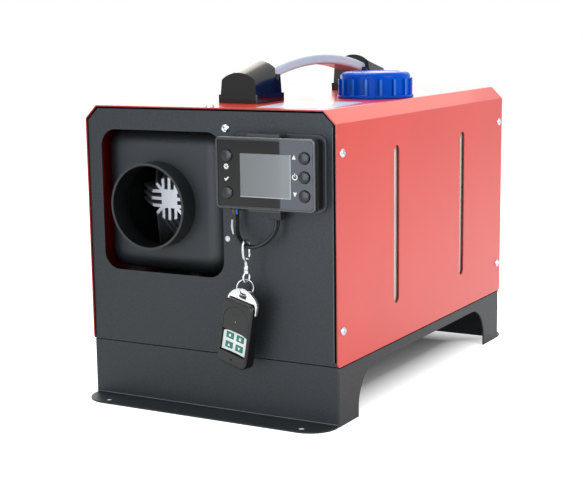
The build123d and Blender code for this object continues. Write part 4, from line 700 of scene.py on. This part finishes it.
class HEATER_OT_panel_edge(Operator):
    """Lays a painted shadow round the front panel's edge and under the cover's hem, and a painted highlight along
    each fold
    """

    bl_idname = "heater.panel_edge"
    bl_label = "Panel edge"

    def execute(self, context):
        # black sheets along the panel's edge and under the hem: painted shadow
        dark_finish = moulded_plastic("painted_edge_shadow", "#010202", 0.8, 0.8, 0.02, Specular_IOR_Level=0.05)
        mesh = bmesh.new()
        plate(mesh, EDGE_SHADOW_OUTER + EDGE_SHADOW_INNER, front_place(0, 0, 0), PAINTED_SHEET_DEPTH)
        low, high, inner, outer = HEM_SHADOW
        for side in (-1, 1):
            face = facing((0, side, 0), Z, at(side * inner, HEM_MIDDLE, 0))
            plate(mesh, box_points(HEM_LENGTH, high - low, 0, (0, (low + high) / 2)), face, outer - inner)
        keep(mesh, "painted_shadow_sheets", "case", dark_finish)
        # pale lines on the panel's right fold and along the base's front fold: painted highlights
        highlight_ink = matt_colour_and_painted_glow("painted_fold_highlight", "#6E787C")
        mesh = bmesh.new()
        x, width, low, high = PANEL_FOLD_HIGHLIGHT
        plate(mesh, box_points(width, high - low, 0, (x, (low + high) / 2)), front_place(0, 0, 0), PAINTED_SHEET_DEPTH)
        radius, depth, z = BASE_FOLD_HIGHLIGHT
        across = facing(Z, Y, at(-CASE_HALF + FOLD_GAP, depth, z))
        far = -2 * CASE_HALF + 2 * FOLD_GAP
        turned(mesh, [(0, 0), (radius, 0), (radius, far), (0, far)], across, 12)
        keep(mesh, "painted_highlight_lines", "case", highlight_ink)
        return {"FINISHED"}


# ---- blank label on the lid
LABEL_SPOT = (73.4, 60.1)
LABEL_SIZE = (70.0, 88.0)
LABEL_CORNER = 2.0
LABEL_TURN = 7.7


def label_film():
    """Blank vinyl label: pale, with a faint blue cast and a soft sheen."""
    made, tree, body = new_material("blank_vinyl_label", Roughness=0.22, IOR=1.5)
    feed(body, Base_Color=drift(tree, grain(tree, 40, 1), linear("#DCE8F4"), linear("#D6E2F0")))
    return made


class HEATER_OT_lid_label(Operator):
    """Sticks the blank label on the lid"""

    bl_idname = "heater.lid_label"
    bl_label = "Lid label"

    def execute(self, context):
        mesh = bmesh.new()
        lid = facing(X, Y, at(*LABEL_SPOT, TOP)) @ Matrix.Rotation(math.radians(LABEL_TURN), 4, "Z")
        plate(mesh, box_points(*LABEL_SIZE, LABEL_CORNER), lid, context.scene.heater_sizes.label_height / MM, 0.05)
        keep(mesh, "blank_lid_label", "case", label_film())
        return {"FINISHED"}


# ---- moulded marks on the outlet cowl
COWL_CATCHES = (
    box_points(15.2, 8.6, 0.8, (-68.0, 248.2), 3),
    box_points(18.4, 9.2, 0.8, (-41.6, 247.0), 3),
)
COWL_RIBS = (
    box_points(15.9, 0.9, 0.0, (-69.8, 130.6)),
    box_points(18.6, 0.9, 0.0, (-43.6, 130.4)),
)
# the catch's inner outline as a share of its outer one, then how far each mark stands proud
CATCH_INNER, CATCH_RISE, RIB_RISE = 0.87, 0.25, 0.3
IN_FRONT = -30


class HEATER_OT_cowl_marks(Operator):
    """Traces the two catch outlines and the two short ribs on the outlet cowl's face"""

    bl_idname = "heater.cowl_marks"
    bl_label = "Cowl marks"

    def execute(self, context):
        self.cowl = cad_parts["outlet_cowl"]
        mesh = bmesh.new()
        for outline in COWL_CATCHES:
            middle = Vector((sum(x for x, _ in outline), sum(z for _, z in outline))) / len(outline)
            inner = [tuple(middle + (Vector(spot) - middle) * CATCH_INNER) for spot in outline]
            loops = self.laid_loop(mesh, outline, 0.0) + self.laid_loop(mesh, outline, CATCH_RISE)
            loops += self.laid_loop(mesh, inner, CATCH_RISE) + self.laid_loop(mesh, inner, 0.0)
            step = len(outline)
            for start in range(0, 3 * step, step):
                bmesh.ops.bridge_loops(mesh, edges=loops[start:start + 2 * step])
        for outline in COWL_RIBS:
            low, high = self.laid_loop(mesh, outline, 0.0), self.laid_loop(mesh, outline, RIB_RISE)
            bmesh.ops.bridge_loops(mesh, edges=low + high)
            bmesh.ops.contextual_create(mesh, geom=high)
        nylon = moulded_plastic("embossed_nylon", "#0B0D0E", 0.5, 0.8, 0.03)
        keep(mesh, "cowl_catch_marks", "case", nylon)
        return {"FINISHED"}

    def laid_loop(self, mesh, outline, rise_mm):
        """A closed loop laid on the cowl's front, lifted towards the viewer."""
        turned_in = self.cowl.matrix_world.inverted()
        ahead = turned_in.to_3x3() @ Vector(Y)
        corners = []
        for x, z in outline:
            found, place, _, _ = self.cowl.ray_cast(turned_in @ at(x, IN_FRONT, z), ahead)
            if not found:
                raise ValueError("a mark lies beside the cowl")
            corners.append(mesh.verts.new(self.cowl.matrix_world @ place - Vector((0, rise_mm * MM, 0))))
        return closed_loop(mesh, corners)


# ---- controller
WINDOW_DEPTH = -19.1
BUTTON_SPOTS = {
    "settings_button": (33.7, 237.2),
    "ok_button": (33.7, 205.0),
    "up_button": (109.5, 237.2),
    "power_button": (109.5, 221.0),
    "down_button": (109.5, 205.0),
}
BUTTON_PROFILE = [
    (0.0, -1.2), (5.25, -1.2), (5.25, 0.9), (5.05, 1.5), (4.5, 1.95), (3.4, 2.2), (1.8, 2.35), (0.0, 2.4),
]


def gear_points(teeth=8, outer=2.6, inner=1.9):
    """A gear's outline."""
    points = []
    for tooth in range(teeth):
        middle = 360 * tooth / teeth
        for radius, turn in ((inner, -13), (outer, -9), (outer, 9), (inner, 13)):
            angle = math.radians(middle + turn)
            points.append((radius * math.cos(angle), radius * math.sin(angle)))
    return points


# a slim bead round the window: middle, then width, height and corner radius outside and inside
BEAD_SPOT = (70.6, -19.5, 222.2)
BEAD_OUTER, BEAD_INNER = (95.4, 59.8, 3.2), (93.4, 57.8, 2.4)
PRINT_DEPTH = 0.06
# solid signs: outline, then where each is printed
SIGNS = (
    ([(-2.3, 0.2), (-1.5, 1.0), (-0.6, 0.0), (1.7, 2.3), (2.5, 1.5), (-0.6, -1.7)], (32.6, 216.6)),
    ([(-1.9, -1.6), (1.9, -1.6), (0, 2.3)], (99.6, 237.6)),
    ([(-1.9, 1.6), (0, -2.3), (1.9, 1.6)], (100.3, 206.4)),
    (round_points(2.6, 24, (0, 0), 125, 290) + round_points(1.75, 24, (0, 0), 415, -290), (100.3, 221.0)),
    (box_points(0.8, 2.6, 0, (0, 1.9)), (100.3, 221.0)),
)
GEAR_SPOT, GEAR_BORE = (32.5, 227.6), 0.9
# outline and place of a pale sheet along the display's edge: a painted glint
GLINT = [(-25.0, -18.9), (25.0, -18.9), (25.0, 18.9), (24.4, 18.9), (24.4, -18.4), (-25.0, -18.4)]
GLINT_SPOT = (71.4, -19.3, 220.8)
WIRE_ENDS = (("wire_end_red", 34.2, "#E03A2E"), ("wire_end_blue", 37.2, "#2A66E0"))
WIRE_SAG = ((0, -10.9, 189.6), (0, -11.0, 187.4), (0.3, -10.6, 185.2))
# a sheath's thickness over its wire's
SHEATH = 1.3
TAG = ((32.0, -9.4, 179.8), (31.6, -9.6, 175.0), (32.1, -9.8, 171.0), (33.4, -10.4, 167.0))
TAG_RADII = (0.8, 1.1, 1.1, 0.7)


class HEATER_OT_controller(Operator):
    """Adds the window's bead, domed buttons, printed signs and the short wires of the controller"""

    bl_idname = "heater.controller"
    bl_label = "Controller details"

    def execute(self, context):
        domes = moulded_plastic("button_abs", "#1B1D1F", 0.22, 0.9, 0.01)
        for name, (x, z) in BUTTON_SPOTS.items():
            mesh = bmesh.new()
            turned(mesh, BUTTON_PROFILE, front_place(x, WINDOW_DEPTH, z), 48)
            keep(mesh, name + "_dome", name, domes, [name])
        self.frame_ring()
        self.signs()
        self.short_wires(context.scene.heater_sizes.lead_diameter / MM)
        return {"FINISHED"}

    def frame_ring(self):
        """A slim raised bead round the window, which catches the light."""
        mesh = bmesh.new()
        hole = box_points(*BEAD_INNER)
        plate(mesh, box_points(*BEAD_OUTER), front_place(*BEAD_SPOT), 0.35, 0.15, holes=[hole])
        satin = moulded_plastic("bezel_abs", "#2A2D30", 0.18, 0.9, 0.01)
        keep(mesh, "window_bead", "case", satin)

    def signs(self):
        """Plain printed signs beside the buttons, with a painted glow, and a painted glint along the display's
        edge.
        """
        mesh = bmesh.new()
        x, z = GEAR_SPOT
        hole = round_points(GEAR_BORE, 16)
        plate(mesh, gear_points(), front_place(x, WINDOW_DEPTH, z), PRINT_DEPTH, holes=[hole])
        for outline, (x, z) in SIGNS:
            plate(mesh, outline, front_place(x, WINDOW_DEPTH, z), PRINT_DEPTH)
        # white print, with a painted glow
        keep(mesh, "button_signs", "case", matt_colour_and_painted_glow("white_print_painted_glow", "#F2F4F5", 0.25))
        mesh = bmesh.new()
        # the display's edge: a painted glint
        plate(mesh, GLINT, front_place(*GLINT_SPOT), 0.05)
        keep(mesh, "painted_display_glint", "case", matt_colour_and_painted_glow("painted_glint", "#C8CFD2", 0.2))

    def short_wires(self, diameter):
        """A red and a blue wire end and a white tag beside the leads, each with a painted glow where the controller
        shades them.
        """
        for name, left, code in WIRE_ENDS:
            spots = [at(left + x, depth, z) for x, depth, z in WIRE_SAG]
            # the sheaths keep their own red and blue, with a painted glow where the controller shades them
            sheath = matt_colour_and_painted_glow(name + "_sheath", code, 0.45)
            stroke(name, spots, [SHEATH * diameter / 2] * len(spots), "case", sheath)
        vinyl = matt_colour_and_painted_glow("tag_vinyl_painted_glow", "#F1F2F3", 0.15)
        stroke("lead_tag", [at(*spot) for spot in TAG], TAG_RADII, "case", vinyl)


# ---- clasp
CLASP = (50.4, -18.0)
# depth from the clasp's axis, height and radius at each point of a wire
BOW = [
    (0.0, 140.6, 1.5), (0.0, 143.6, 1.5), (-1.4, 146.4, 1.5), (-4.2, 148.6, 1.3), (-5.1, 152.6, 1.2),
    (-5.4, 157.2, 1.1), (-4.8, 162.2, 1.05), (0.3, 164.2, 1.05), (5.0, 162.4, 0.95), (5.7, 158.9, 0.8),
    (5.7, 157.8, 0.75),
]
HEEL = [(-1.2, 146.2, 1.2), (2.6, 146.8, 1.1), (5.4, 147.8, 0.95), (5.7, 149.9, 0.9)]
GATE = [(5.7, 150.0, 0.9), (5.6, 152.0, 0.85), (5.6, 154.5, 0.8), (5.6, 156.7, 0.7)]
SLEEVE_FOOT = 137.4
SLEEVE_PROFILE = [(1.1, 0), (2.1, 0), (2.3, 0.4), (2.3, 2.6), (1.9, 3.6), (1.1, 3.8), (1.1, 0)]
PIN_START, PIN_HEIGHT = 3.4, 147.4
PIN_PROFILE = [(0, 0), (0.8, 0.2), (0.8, 6.6), (0, 6.8)]
KNOB_DEPTH, KNOB_HEIGHT, KNOB_RADIUS = 7.1, 150.4, 0.95
RING_CENTRE = Vector((49.219, -213.238, 121.934)) * MM
RING_ACROSS = (0.848, 0.53, 0.0)
RING_RADIUS, RING_WIRE, RING_COILS = 7.3, 0.48, (-0.44, 0.44)


class HEATER_OT_clasp(Operator):
    """Bends the lobster clasp, its gate and the split ring from round metal"""

    bl_idname = "heater.clasp"
    bl_label = "Clasp"

    def execute(self, context):
        x, depth = CLASP
        self.chrome = bare_metal("polished_chrome", "#D6D8DB", 0.12, 3.0, 0.002)
        self.wire("clasp_bow", BOW, "clasp_hook", ["clasp_hook"])
        self.wire("clasp_heel", HEEL, "clasp_hook")
        mesh = bmesh.new()
        turned(mesh, SLEEVE_PROFILE, Matrix.Translation(at(x, depth, SLEEVE_FOOT)), 32)
        turned(mesh, PIN_PROFILE, facing(Y, Z, at(x - PIN_START, depth, PIN_HEIGHT)), 20)
        keep(mesh, "clasp_sleeve", "clasp_hook", self.chrome)
        self.wire("gate_bar", GATE, "clasp_gate", ["clasp_gate"])
        mesh = bmesh.new()
        knob = Matrix.Translation(at(x, depth + KNOB_DEPTH, KNOB_HEIGHT))
        bmesh.ops.create_uvsphere(mesh, u_segments=16, v_segments=10, radius=KNOB_RADIUS * MM, matrix=knob)
        keep(mesh, "gate_knob", "clasp_gate", self.chrome)
        mesh = bmesh.new()
        ring = facing(RING_ACROSS, Z, RING_CENTRE)
        for coil in RING_COILS:
            section = [(u, v + coil) for u, v in round_points(RING_WIRE, 12, (RING_RADIUS, 0))]
            turned(mesh, section + section[:1], ring, 72)
        keep(mesh, "ring_coils", "split_ring", self.chrome, ["split_ring"])
        return {"FINISHED"}

    def wire(self, name, points, body, replaced=()):
        """A round wire of the clasp, bent through its points."""
        x, depth = CLASP
        spots = [at(x, depth + y, z) for y, z, _ in points]
        stroke(name, spots, [radius for _, _, radius in points], body, self.chrome, replaced)


# ---- fob
FOB_CENTRE = Vector((41.5051, -212.588, 80.4113)) * MM
FOB_ACROSS = Vector((0.960176, -0.204092, -0.190809))
FOB_UP = Vector((0.186639, -0.039671, 0.981627))
# heights above the fob's middle plane
TRACK_FLOOR, KEY_TOP, COVER_TOP, RAIL_FOOT, HANGER_BACK = 3.9, 4.4, 5.88, 5.0, -1.7
KEY_SPOTS = ((-6.1, -3.55), (6.1, -3.55), (-6.1, -12.45), (6.1, -12.45))
KEY_HOLE = (9.1, 6.1, 0.7)
THUMB_MIDDLE, THUMB_RADII, THUMB_WIDTH = (0, 12.0), (5.0, 7.0), 0.5
COVER_LAMP = (-0.65, 10.9)
RAIL, RAIL_SPOT = (2.0, 12.0, 0.95), (15.9, 20.6)
# the hanger's half width outside and inside, foot, shoulder and top
HANGER = (17.25, 14.3, 21.2, 30.2, 41.3)
HANGER_SLOT = (8.4, 4.4, 1.2, (0, 34.8), 5)
HANGER_DEPTH = 3.4


def arc_points(start, middle, end, count=13):
    """Points on the arc through three 2D points."""
    (ax, ay), (bx, by), (cx, cy) = start, middle, end
    twice = 2 * (ax * (by - cy) + bx * (cy - ay) + cx * (ay - by))
    first, second, third = (u * u + v * v for u, v in (start, middle, end))
    ox = (first * (by - cy) + second * (cy - ay) + third * (ay - by)) / twice
    oy = (first * (cx - bx) + second * (ax - cx) + third * (bx - ax)) / twice
    low, high = math.atan2(ay - oy, ax - ox), math.atan2(cy - oy, cx - ox)
    turn = (high - low + math.pi) % (2 * math.pi) - math.pi
    return round_points(math.hypot(ax - ox, ay - oy), count, (ox, oy), math.degrees(low), math.degrees(turn))


class HEATER_OT_fob(Operator):
    """Lays the fob's keypad sheet, key signs, cover marks, rails and polished hanger"""

    bl_idname = "heater.fob"
    bl_label = "Fob details"

    def execute(self, context):
        self.place = facing(FOB_ACROSS, FOB_UP, FOB_CENTRE)
        # white print with a painted glow, also used for the cover's lamp dot
        self.white = matt_colour_and_painted_glow("keypad_print_painted_glow", "#F4F6F7", 0.2)
        self.keypad()
        self.cover_marks()
        self.hanger()
        return {"FINISHED"}

    def level(self, height, across=0.0, up=0.0):
        """The fob's plane at a height above its middle, in millimetres."""
        return self.place @ Matrix.Translation((across * MM, up * MM, height * MM))

    def keypad(self):
        """A white sheet round the keys, and a plain sign on each key."""
        mesh = bmesh.new()
        outline = arc_points((-14.2, -0.9), (0.3, 1.5), (14.6, -1.3))
        outline += arc_points((14.7, -18.3), (1, -17.4), (-14.4, -18.3))
        holes = [box_points(*KEY_HOLE, spot, 4) for spot in KEY_SPOTS]
        plate(mesh, outline, self.level(TRACK_FLOOR), 0.15, holes=holes)
        keep(mesh, "keypad_sheet", "fob", self.white)
        square = box_points(2.6, 2.6, 0.5, (0, 0), 4)
        body = box_points(2.6, 2.0, 0.4, (0, -0.4), 4)
        bow = round_points(1.2, 9, (0.3, 0.6), 0, 180) + round_points(0.7, 9, (0.3, 0.6), 180, -180)
        up = [(-1.6, -1.2), (1.6, -1.2), (0, 1.6)]
        down = [(-1.6, 1.2), (0, -1.6), (1.6, 1.2)]
        for number, (spot, sign) in enumerate(zip(KEY_SPOTS, ([square], [body, bow], [up], [down])), start=1):
            mesh = bmesh.new()
            for outline in sign:
                plate(mesh, outline, self.level(KEY_TOP, *spot), PRINT_DEPTH)
            keep(mesh, f"key_sign_{number}", f"fob_key_{number}", self.white)

    def cover_marks(self):
        """Thumb arcs and the lamp window of the sliding cover, and the rails beside it."""
        ribbed = moulded_plastic("fob_cover_abs", "#1A1C1E", 0.3, 2.5, 0.005)
        mesh = bmesh.new()
        for radius in THUMB_RADII:
            for start in (40, 220):
                band = round_points(radius, 13, THUMB_MIDDLE, start, 100)
                band += round_points(radius - THUMB_WIDTH, 13, THUMB_MIDDLE, start + 100, -100)
                plate(mesh, band, self.level(COVER_TOP), 0.12, 0.04)
        keep(mesh, "cover_thumb_arcs", "fob_slide_cover", ribbed)
        mesh = bmesh.new()
        turned(mesh, [(0, 0), (0.35, 0), (0.3, 0.1), (0, 0.12)], self.level(COVER_TOP, *COVER_LAMP), 16)
        keep(mesh, "cover_lamp", "fob_slide_cover", self.white)
        mesh = bmesh.new()
        across, up = RAIL_SPOT
        for side in (-1, 1):
            plate(mesh, box_points(*RAIL, (side * across, up), 6), self.level(RAIL_FOOT), 1.0, 0.45)
        keep(mesh, "fob_rails", "fob", ribbed)

    def hanger(self):
        """The polished crescent that holds the split ring."""
        mesh = bmesh.new()
        half, inner, low, shoulder, top = HANGER
        outline = [(half, low)] + arc_points((half, shoulder), (0, top), (-half, shoulder), 25)
        outline += [(-half, low), (-inner, low), (-inner, shoulder), (inner, shoulder), (inner, low)]
        polished = bare_metal("polished_hanger", "#F4F6F7", 0.16, 3.0, 0.002)
        slot = box_points(*HANGER_SLOT)
        plate(mesh, outline, self.level(HANGER_BACK), HANGER_DEPTH, 0.8, holes=[slot])
        keep(mesh, "hanger_crescent", "fob", polished, ["fob_hanger"], 30)


# ---- finishes of the CAD nodes
class HEATER_OT_finishes(Operator):
    """Gives every carried CAD node its own finish"""

    bl_idname = "heater.finishes"
    bl_label = "Finishes"

    def execute(self, context):
        colours = context.scene.heater_colours
        polished = {"Specular_IOR_Level": 0.25, "Coat_Weight": 0.4, "Coat_Roughness": 0.08}
        for finish, names in (
            (gloss_enamel(tuple(colours.enamel)), "red_shell"),
            (textured_powder(colours.powder), "front_panel rear_panel base_frame"),
            (bare_metal("bright_zinc_plate", "#C9CCD0", 0.28, 0.6), "case_screws panel_rivet handle_bolts"),
            (
                bare_metal("polished_chrome", "#E4E6E9", 0.09, 3.0, 0.002),
                "clasp_hook clasp_gate clasp_swivel split_ring fob_hanger",
            ),
            (
                bare_metal("drawn_steel", "#9FA1A3", 0.32, 1.0, 0.01, (1, 1, 0.05)),
                "pump_plunger burner_tube glow_plug exhaust_pipe heater_stand blower_motor motor_shaft",
            ),
            (bare_metal("die_cast_aluminium", "#C9CBCC", 0.42, 0.7, 0.05), "heat_exchanger combustion_fan"),
            (
                moulded_plastic("nitrile_rubber", "#141415", 0.6, 0.8, 0.03),
                "cap_gasket tank_strap pump_clamp heater_gasket cable_connector",
            ),
            (
                moulded_plastic("glass_filled_nylon", "#1A1C1E", 0.45, 0.7, 0.05),
                "power_gland fuel_pump heater_upper_shell heater_lower_shell intake_cowl combustion_air_pipe"
                " warm_air_fan control_unit",
            ),
            (
                moulded_plastic("polished_abs", "#0B0B0C", 0.14, 6.0, 0.01, **polished),
                "handle_front_mount handle_rear_mount",
            ),
            (moulded_plastic("soft_touch_grip", colours.grip, 0.3, 1.5, 0.01, 0.03), "handle_grip"),
            (moulded_plastic("moulded_polypropylene", colours.cap, 0.34, 0.9, 0.03), "filler_cap"),
            (tank_polyethylene(), "fuel_tank"),
            (clear_tube(), "suction_hose delivery_hose"),
            (bore_shaded_nylon(), "outlet_cowl"),
            (moulded_plastic("cradle_abs", "#303438", 0.4, 0.9, 0.03), "controller_cradle"),
            (
                moulded_plastic("controller_side_abs", "#090A0B", 0.4, 0.9, 0.02, Specular_IOR_Level=0.3),
                "controller_case",
            ),
            (moulded_plastic("bezel_shell_abs", "#1D2022", 0.22, 0.9, 0.01, Coat_Weight=1.0), "controller_bezel"),
            (moulded_plastic("polished_acrylic", "#0C0E0F", 0.02, 8.0, 0.0005), "controller_window"),
            (display_glass(), "lcd_display"),
            (moulded_plastic("button_abs", "#1E2022", 0.3, 0.9, 0.02), " ".join(BUTTON_SPOTS)),
            (moulded_plastic("fob_abs", "#0D0E0F", 0.2, 1.2, 0.01), "fob_case"),
            (moulded_plastic("fob_cover_abs", "#0E1214", 0.16, 2.5, 0.005), "fob_slide_cover"),
            (
                moulded_plastic("key_rubber", colours.keys, 0.4, 0.8, 0.02),
                "fob_key_1 fob_key_2 fob_key_3 fob_key_4",
            ),
        ):
            for name in names.split():
                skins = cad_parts[name].data.materials
                skins.clear()
                skins.append(finish)
        return {"FINISHED"}


# ---- panel and run
class HEATER_PT_panel(Panel):
    """Sizes, colours and the build steps"""

    bl_idname = "HEATER_PT_panel"
    bl_label = "Diesel air heater"
    bl_space_type = "VIEW_3D"
    bl_region_type = "UI"
    bl_category = "Heater"

    def draw(self, context):
        for group in (context.scene.heater_sizes, context.scene.heater_colours):
            for name in group.bl_rna.properties.keys():
                if name not in ("rna_type", "name"):
                    self.layout.prop(group, name)
        for step in STEPS:
            self.layout.operator(step.bl_idname)


STEPS = (
    HEATER_OT_stage,
    HEATER_OT_leads,
    HEATER_OT_filler_cap,
    HEATER_OT_screws,
    HEATER_OT_panel_edge,
    HEATER_OT_lid_label,
    HEATER_OT_cowl_marks,
    HEATER_OT_controller,
    HEATER_OT_clasp,
    HEATER_OT_fob,
    HEATER_OT_finishes,
)
CLASSES = (HeaterSizes, HeaterColours, *STEPS, HEATER_PT_panel)


def register():
    for entry in CLASSES:
        bpy.utils.register_class(entry)
    bpy.types.Scene.heater_sizes = PointerProperty(type=HeaterSizes)
    bpy.types.Scene.heater_colours = PointerProperty(type=HeaterColours)


def unregister():
    del bpy.types.Scene.heater_colours
    del bpy.types.Scene.heater_sizes
    for entry in reversed(CLASSES):
        bpy.utils.unregister_class(entry)


def main():
    """Builds everything in order."""
    register()
    for step in STEPS:
        getattr(bpy.ops.heater, step.bl_idname.split(".")[1])()


if __name__ == "__main__":
    main()
